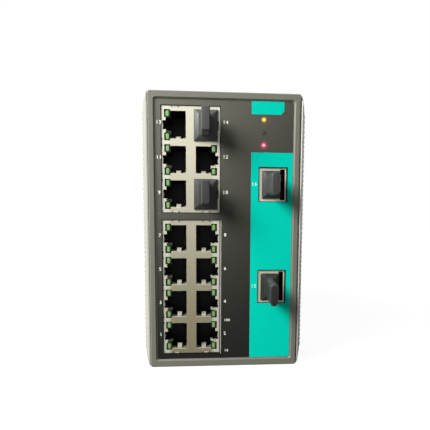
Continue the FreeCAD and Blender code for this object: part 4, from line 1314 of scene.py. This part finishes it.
@dataclass(frozen=True)
class ScrewPattern:
    """A screw on +Z with a recess in its head; the head's foot or face is at z = 0."""

    head_radius: float
    head_height: float
    shank_radius: float
    shank_length: float
    sink: float = 0.0
    drive: Drive = Drive.CROSS
    segments: int = 36
    recess_depth: float = 0.35
    recess_taper: float = 0.8

    def _profile(self) -> list[Pair]:
        """Radius and height from the shank's tip to the ring round the recess.

        Returns:
            The pairs in order, upwards.
        """
        radius, height = self.head_radius, self.head_height
        if self.sink:
            return [(self.shank_radius, -self.shank_length), (self.shank_radius, -self.sink),
                    (radius - 0.05, -0.08), (radius - 0.12, 0.0)]
        head = ((0.97, 0.0), (1.0, 0.15), (1.0, 0.4), (0.93, 0.7), (0.8, 0.9), (0.62, 1.0))
        return [(self.shank_radius, -self.shank_length), (self.shank_radius, 0.0),
                *((radius * out, height * up) for out, up in head)]

    def _recess(self) -> list[Pair]:
        """Outline of the recess seen from above.

        Returns:
            Its corners in order.
        """
        if self.drive is Drive.SLOT:
            long, half = self.head_radius * 0.8, self.head_radius * 0.16
            return [(-long, -half), (long, -half), (long, half), (-long, half)]
        long, half = self.head_radius * 0.48, self.head_radius * 0.13
        quarter = ((long, -half), (long, half), (half, half))
        turns = ((1, 0), (0, 1), (-1, 0), (0, -1))
        return [(x * c - y * s, x * s + y * c) for c, s in turns for x, y in quarter]

    def mesh(self, name: str) -> Mesh:
        """Turn the profile, leave the recess open in the head and sink its walls.

        Args:
            name: the mesh's name.

        Returns:
            The screw's mesh.
        """
        draft = Draft(name)
        bm = draft.bm
        turns = [2 * math.pi * i / self.segments for i in range(self.segments)]
        rings = [draft.add_ring([mm(radius * math.cos(a), radius * math.sin(a), height)
                                 for a in turns]) for radius, height in self._profile()]
        for low, high in zip(rings, rings[1:]):
            draft.add_wall(low, high)
        bm.faces.new(rings[0][::-1])
        top = self._profile()[-1][1]
        bottom = top - self.head_radius * self.recess_depth
        taper = self.recess_taper
        mouth = draft.add_ring([mm(x, y, top) for x, y in self._recess()])
        floor = draft.add_ring([mm(x * taper, y * taper, bottom) for x, y in self._recess()])
        loop = [bm.edges.new(ends) for ends in zip(mouth, mouth[1:] + mouth[:1])]
        rim = [bm.edges.get(ends) for ends in zip(rings[-1], rings[-1][1:] + rings[-1][:1])]
        bmesh.ops.triangle_fill(bm, use_beauty=True, edges=loop + rim)
        draft.add_wall(floor, mouth)
        bm.faces.new(floor)
        return draft.finish(smooth=35.0)


@dataclass
class Screws:
    """Every screw with the recess in its head, in place of the plain CAD ones."""

    rear: ScrewPattern = ScrewPattern(2.8, 2.0, 1.2, 14.0)
    earth: ScrewPattern = ScrewPattern(3.8, 2.4, 2.0, 8.0)
    plate: ScrewPattern = ScrewPattern(2.7, 0.0, 1.5, 6.0, sink=1.2)
    rail: ScrewPattern = ScrewPattern(3.6, 0.0, 2.0, 8.0, sink=2.0)
    clamp: ScrewPattern = ScrewPattern(1.7, 0.0, 1.2, 5.0, sink=0.6, drive=Drive.SLOT)
    clamps: int = 6

    def build(self, shop: Workshop) -> None:
        """Make and dress every set of screws.

        Args:
            shop: keeps the finishes and takes the pieces.
        """
        back = -math.pi / 2
        chassis = Extent.of("chassis")
        box, inset = Extent.of("rear_screws"), self.rear.head_radius
        places = [mm(x, chassis.y1, z) for x in (box.x0 + inset, box.x1 - inset)
                  for z in (box.z0 + inset, box.z1 - inset)]
        self._set(shop, "rear_screw_set", "rear_screws", self.rear, [(places, (back, 0, 0.3))])

        box = Extent.of("ground_screw")
        places = [mm(box.middle_x, box.middle_y, chassis.z1)]
        self._set(shop, "earth_screw", "ground_screw", self.earth, [(places, (0, 0, 0.5))])

        box, inset = Extent.of("plate_screws"), self.plate.head_radius
        upper, lower = ([mm(x, box.middle_y, z) for x in (box.x0 + inset, box.x1 - inset)]
                        for z in (box.z1, box.z0))
        self._set(shop, "plate_screw_set", "plate_screws", self.plate,
                  [(upper, (0, 0, 0.2)), (lower, (math.pi, 0, 0.4))])

        box, inset = Extent.of("din_plate_screws"), self.rail.head_radius
        places = [mm(x, box.y1, z) for x, z in ((box.x0 + inset, box.z1 - inset),
                                                (box.x1 - inset, box.z1 - inset),
                                                (box.middle_x, box.z0 + inset))]
        self._set(shop, "rail_screw_set", "din_plate_screws", self.rail,
                  [(places, (back, 0, 0.7))])

        box, inset = Extent.of("terminal_screws"), self.clamp.head_radius
        step = (box.x1 - box.x0 - 2 * inset) / (self.clamps - 1)
        places = [mm(box.x0 + inset + i * step, box.middle_y, box.z1) for i in range(self.clamps)]
        self._set(shop, "terminal_screw_set", "terminal_screws", self.clamp,
                  [(places, (0, 0, 0.6))])

    @staticmethod
    def _set(shop: Workshop, name: str, node: str, pattern: ScrewPattern,
             groups: list[tuple[list[Vector], Triple]]) -> None:
        """Put one pattern of screw at each group of places.

        Args:
            shop: keeps the materials and the trees.
            name: the piece's name.
            node: the CAD node that it stands for.
            pattern: the screw.
            groups: places that are turned alike, each with the turn.
        """
        meshes = []
        for number, (places, turn) in enumerate(groups):
            values = {"Item": pattern.mesh(f"{name} item {number}"), "Turn": turn,
                      "Finish": shop.materials[Paint.SCREW]}
            meshes.append(PatternTrees.grow(f"{name} {number}", shop.trees.places, places, values))
        shop.add(name, Draft(name, *meshes).close(), Paint.SCREW, "screw_steel", (node,))


# -------------------- marks


class Facing(Enum):
    """Which way a line of print looks."""

    FRONT = "front"
    UP = "up"


@dataclass
class Marks:
    """Plain numbers beside the sockets, and numbers and ON on the slide switches."""

    height: float = 1.6
    speed_height: float = 1.15
    strip_height: float = 1.7
    switch_height: float = 1.3
    capital_share: float = 0.70
    boldness: float = 0.04
    thickness: float = 0.012
    spacing: float = 1.25
    left_rises: tuple[float, ...] = (1.0, 0.9, 1.2, 1.5, 0.6, 1.0, 1.0)
    right_rises: tuple[float, ...] = (1.0, 1.1, 1.4, 1.8, 0.9, 1.6, 1.5)
    left_shift: float = 0.15
    right_gap: float = 2.75
    speed_shifts: Pair = (1.1, 0.8)
    speed_rise: float = 7.9
    strip_insets: Pair = (1.85, 1.6)
    strip_rise: float = 0.2
    slider_drop: float = 2.1
    on_place: Pair = (1.1, 4.3)

    def build(self, shop: Workshop) -> None:
        """Make and dress every line of print.

        Args:
            shop: keeps the finishes and takes the pieces.
        """
        self._socket_numbers(shop)
        self._strip_numbers(shop)
        self._switch_numbers(shop)

    def _socket_numbers(self, shop: Workshop) -> None:
        """Number the two stacked blocks from the lowest row up, and the speeds beside socket 2.

        Args:
            shop: keeps the finishes and takes the pieces.
        """
        film = Extent.of("panel_overlay")
        lower = Extent.of("lower_jack_shield")
        upper = Extent.of("upper_jack_shield")
        left = (film.x0 + lower.x0) / 2 + self.left_shift
        right = lower.x1 + self.right_gap
        rows = [lower.middle_z + ROW_PITCH * (row - 1.5) for row in range(4)]
        rows += [upper.middle_z + ROW_PITCH * (row - 1.0) for row in range(3)]
        lines = []
        for row, z in enumerate(rows):
            lines.append((str(2 * row + 1), left, z + self.left_rises[row]))
            lines.append((str(2 * row + 2), right, z + self.right_rises[row]))
        speeds = [("100", right + self.speed_shifts[0], rows[0] + self.speed_rise),
                  ("10", right + self.speed_shifts[1], rows[0] - self.speed_rise)]
        level = film.y0 - PRINT_LIFT
        draft = Draft("numbers", self._stamp(lines, self.height, level, Facing.FRONT),
                      self._stamp(speeds, self.speed_height, level, Facing.FRONT))
        shop.add("socket_numbers", draft.close(), Paint.PRINT, "overlay_film")

    def _strip_numbers(self, shop: Workshop) -> None:
        """Number the single sockets on the strip.

        Args:
            shop: keeps the finishes and takes the pieces.
        """
        strip = Extent.of("accent_strip")
        lines = [(str(port), strip.x0 + inset,
                  Extent.of(f"jack_{port}_shield").middle_z + self.strip_rise)
                 for port, inset in zip((15, 16), self.strip_insets)]
        mesh = self._stamp(lines, self.strip_height, strip.y0 - PRINT_LIFT, Facing.FRONT)
        shop.add("strip_numbers", mesh, Paint.PALE_PRINT, "accent_film")

    def _switch_numbers(self, shop: Workshop) -> None:
        """Number the sliders of each slide switch, and print ON above the first.

        Args:
            shop: keeps the finishes and takes the pieces.
        """
        lines = []
        for first in (1, 9):
            for i in range(8):
                slider = Extent.of(f"slider_{first + i:02d}")
                lines.append((str(i + 1), slider.middle_x, slider.y0 - self.slider_drop))
            corner = Extent.of(f"slider_{first:02d}")
            lines.append(("ON", corner.middle_x + self.on_place[0], corner.y0 + self.on_place[1]))
        level = Extent.of("slide_switch_bodies").z1 + PRINT_LIFT
        mesh = self._stamp(lines, self.switch_height, level, Facing.UP)
        shop.add("switch_numbers", mesh, Paint.PRINT, "slider_white")

    def _stamp(self, lines: list[tuple[str, float, float]], height: float, level: float,
               facing: Facing) -> Mesh:
        """Set lines of print on a plane.

        Args:
            lines: each line's text and its middle in the plane.
            height: height of a numeral.
            level: where the plane lies.
            facing: which way the print looks.

        Returns:
            One mesh of all the lines, in place.
        """
        meshes = []
        for text, across, up in lines:
            curve = bpy.data.curves.new("mark", "FONT")
            curve.body = text
            curve.align_x = "CENTER"
            curve.align_y = "CENTER"
            curve.size = height / self.capital_share * MM
            curve.offset = self.boldness * MM
            curve.space_character = self.spacing
            curve.extrude = self.thickness * MM
            curve.resolution_u = 4
            holder = show("mark", curve)
            mesh = as_mesh(holder)
            bpy.data.objects.remove(holder)
            if facing is Facing.FRONT:
                turn = Matrix.Rotation(math.pi / 2, 4, "X")
                mesh.transform(Matrix.Translation(mm(across, level, up)) @ turn)
            else:
                mesh.transform(Matrix.Translation(mm(across, up, level)))
            meshes.append(mesh)
        return Draft("marks", *meshes).close()


# -------------------- lights


@dataclass(frozen=True)
class Light:
    """One status light, and the soft glow that it gives the film round it where it is lit."""

    node: str
    finish: LensFinish
    halo: str = ""
    reach: float = 0.0


@dataclass
class StatusLights:
    """Three small lights: the first lit amber, the second dark, the third lit red."""

    lights: tuple[Light, ...] = (
        Light("power_1_light", LensFinish("amber light", "d69a14", "f2d24a", 0.65), "8a6418", 1.9),
        Light("power_2_light", LensFinish("unlit light", "1c1b18", "3a3832", 0.0)),
        Light("fault_light", LensFinish("red light", "e0406c", "ffa8c0", 0.75), "a02048", 2.5),
    )
    glow_depth: float = -51.7
    glow_core: float = 0.6

    def build(self, shop: Workshop) -> None:
        """Dress the lights and paint the glow of the lit ones onto the film round them.

        Args:
            shop: keeps the finishes and takes the pieces.
        """
        net = Net(shop.materials[Paint.FILM].node_tree)
        colour = (0.0, 0.0, 0.0, 1.0)
        for light in self.lights:
            box = Extent.of(light.node)
            shop.dress_node(light.node, light.finish.build(box.middle_x, box.middle_z))
            # painted glow: emission on the film round each lit light
            if light.halo:
                centre = mm(box.middle_x, self.glow_depth, box.middle_z)
                gap = net.vector("DISTANCE", net.here(), centre, result="Value")
                near = net.span(gap, light.reach * MM, self.glow_core * MM)
                colour = net.mix(near, colour, linear(light.halo))
        net.feed(net.tree.nodes["Principled BSDF"].inputs,
                 {"Emission Color": colour, "Emission Strength": 1.0})


# -------------------- stage


@dataclass(frozen=True)
class Lamp:
    """A square lamp that looks at the middle of the housing, in millimetres and watts."""

    name: str
    direction: Triple
    distance: float
    size: float
    power: float
    target: Triple = (0.0, -30.0, 80.0)

    def build(self) -> None:
        """Make the lamp."""
        data = bpy.data.lights.new(self.name, "AREA")
        data.shape = "SQUARE"
        data.size = self.size * MM
        data.energy = self.power
        lamp = show(self.name, data)
        towards = Vector(self.direction).normalized()
        lamp.location = mm(*self.target) + towards * self.distance * MM
        lamp.rotation_euler = towards.to_track_quat("Z", "Y").to_euler()


@dataclass
class Studio:
    """Pale floor and backdrop, soft lamps and the camera."""

    camera_place: Triple = (-11.4, -225.1, 72.6)
    pan: float = -3.80
    tilt: float = 5.05
    roll: float = -0.09
    lens: float = 29.3
    shift: Pair = (-0.023, 0.0905)
    lamps: tuple[Lamp, ...] = (
        Lamp("key lamp", (-0.72, -0.50, 0.52), 480.0, 230.0, 5.2),
        Lamp("front card", (-0.25, -0.88, 0.50), 700.0, 480.0, 0.55),
        Lamp("rim lamp", (0.8, 0.6, 0.2), 900.0, 500.0, 7.0),
    )
    sky_colour: Colour = (0.97, 0.985, 1.0, 1.0)
    sky_level: float = 0.09
    floor_half: float = 4000.0
    floor_colour: Colour = (0.42, 0.42, 0.41, 1.0)
    bounce_colour: Colour = (0.12, 0.12, 0.12, 1.0)
    glow_share: float = 0.75
    glow_strengths: Pair = (1.22, 1.36)
    glow_reach: Pair = (150.0, 450.0)

    def build(self) -> None:
        """Make the whole stage."""
        self._floor()
        for lamp in self.lamps:
            lamp.build()
        self._sky()
        self._camera()

    @staticmethod
    def _seen(net: Net) -> Socket:
        """Mask of rays that see the background: from the camera, off metal, through glass.

        Args:
            net: the net of the floor or the sky.

        Returns:
            The mask.
        """
        path = net.node("ShaderNodeLightPath").outputs
        shiny = net.math("MAXIMUM", path["Is Camera Ray"], path["Is Glossy Ray"])
        return net.math("MAXIMUM", shiny, path["Is Transmission Ray"])

    def _floor(self) -> None:
        """Make a white floor that keeps the object's shadow."""
        draft = Draft("floor")
        corners = ((-1, -1, 0), (1, -1, 0), (1, 1, 0), (-1, 1, 0))
        draft.bm.faces.new(draft.add_ring([mm(*corner) * self.floor_half for corner in corners]))
        mesh = draft.close()
        floor = show("floor", mesh)
        material = bpy.data.materials.new("pale floor")
        mesh.materials.append(material)
        net = Net.of_material(material)
        shader = net.tree.nodes["Principled BSDF"]
        path = net.node("ShaderNodeLightPath").outputs
        net.feed(shader.inputs, {
            "Base Color": net.mix(path["Is Diffuse Ray"], self.floor_colour, self.bounce_colour),
            "Roughness": 0.9, "Specular IOR Level": 0.1})
        away = net.vector("LENGTH", net.here(), result="Value")
        near, far = self.glow_reach
        strength = net.span(away, near * MM, far * MM, *self.glow_strengths, shape="LINEAR")
        glow = net.node("ShaderNodeEmission", {"Color": WHITE, "Strength": strength})
        share = net.math("MULTIPLY", self._seen(net), self.glow_share)
        net.blend(share, shader, glow, "Material Output")

    def _sky(self) -> None:
        """Light softly all round, and show white behind the object."""
        world = bpy.data.worlds.new("studio")
        bpy.context.scene.world = world
        world.use_nodes = True
        net = Net(world.node_tree)
        light = net.tree.nodes["Background"]
        net.feed(light.inputs, {"Color": self.sky_colour, "Strength": self.sky_level})
        white = net.node("ShaderNodeBackground", {"Color": WHITE})
        net.blend(self._seen(net), light, white, "World Output")

    def _camera(self) -> None:
        """Make the camera, in front and a little to the left, turned by pan, tilt and roll."""
        turn = Matrix(((1, 0, 0), (0, 0, -1), (0, 1, 0)))
        for angle, axis in ((self.tilt, "X"), (self.pan, "Y"), (self.roll, "Z")):
            turn = Matrix.Rotation(math.radians(angle), 3, axis) @ turn
        axes = Matrix((turn[0], -turn[1], -turn[2])).transposed()
        data = bpy.data.cameras.new("camera")
        data.sensor_width = 36.0
        data.lens = self.lens
        data.shift_x, data.shift_y = self.shift
        data.clip_start = 10 * MM
        camera = show("camera", data)
        camera.matrix_world = Matrix.Translation(mm(*self.camera_place)) @ axes.to_4x4()
        bpy.context.scene.camera = camera


# -------------------- main


def main() -> None:
    """Build the dressed switch and its stage."""
    logging.basicConfig(level=logging.INFO, format="%(name)s: %(message)s")
    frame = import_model()
    bpy.context.scene.view_settings.view_transform = "Standard"
    shop = Workshop(frame["nodes"])
    shop.dress_all()
    StatusLights().build(shop)
    SocketBlock("lower", rows=4).build(shop)
    SocketBlock("upper", rows=3).build(shop)
    FilmEdges().build(shop)
    RimBead().build(shop)
    DustPlugs().build(shop)
    Screws().build(shop)
    Marks().build(shop)
    Studio().build()


if __name__ == "__main__":
    main()
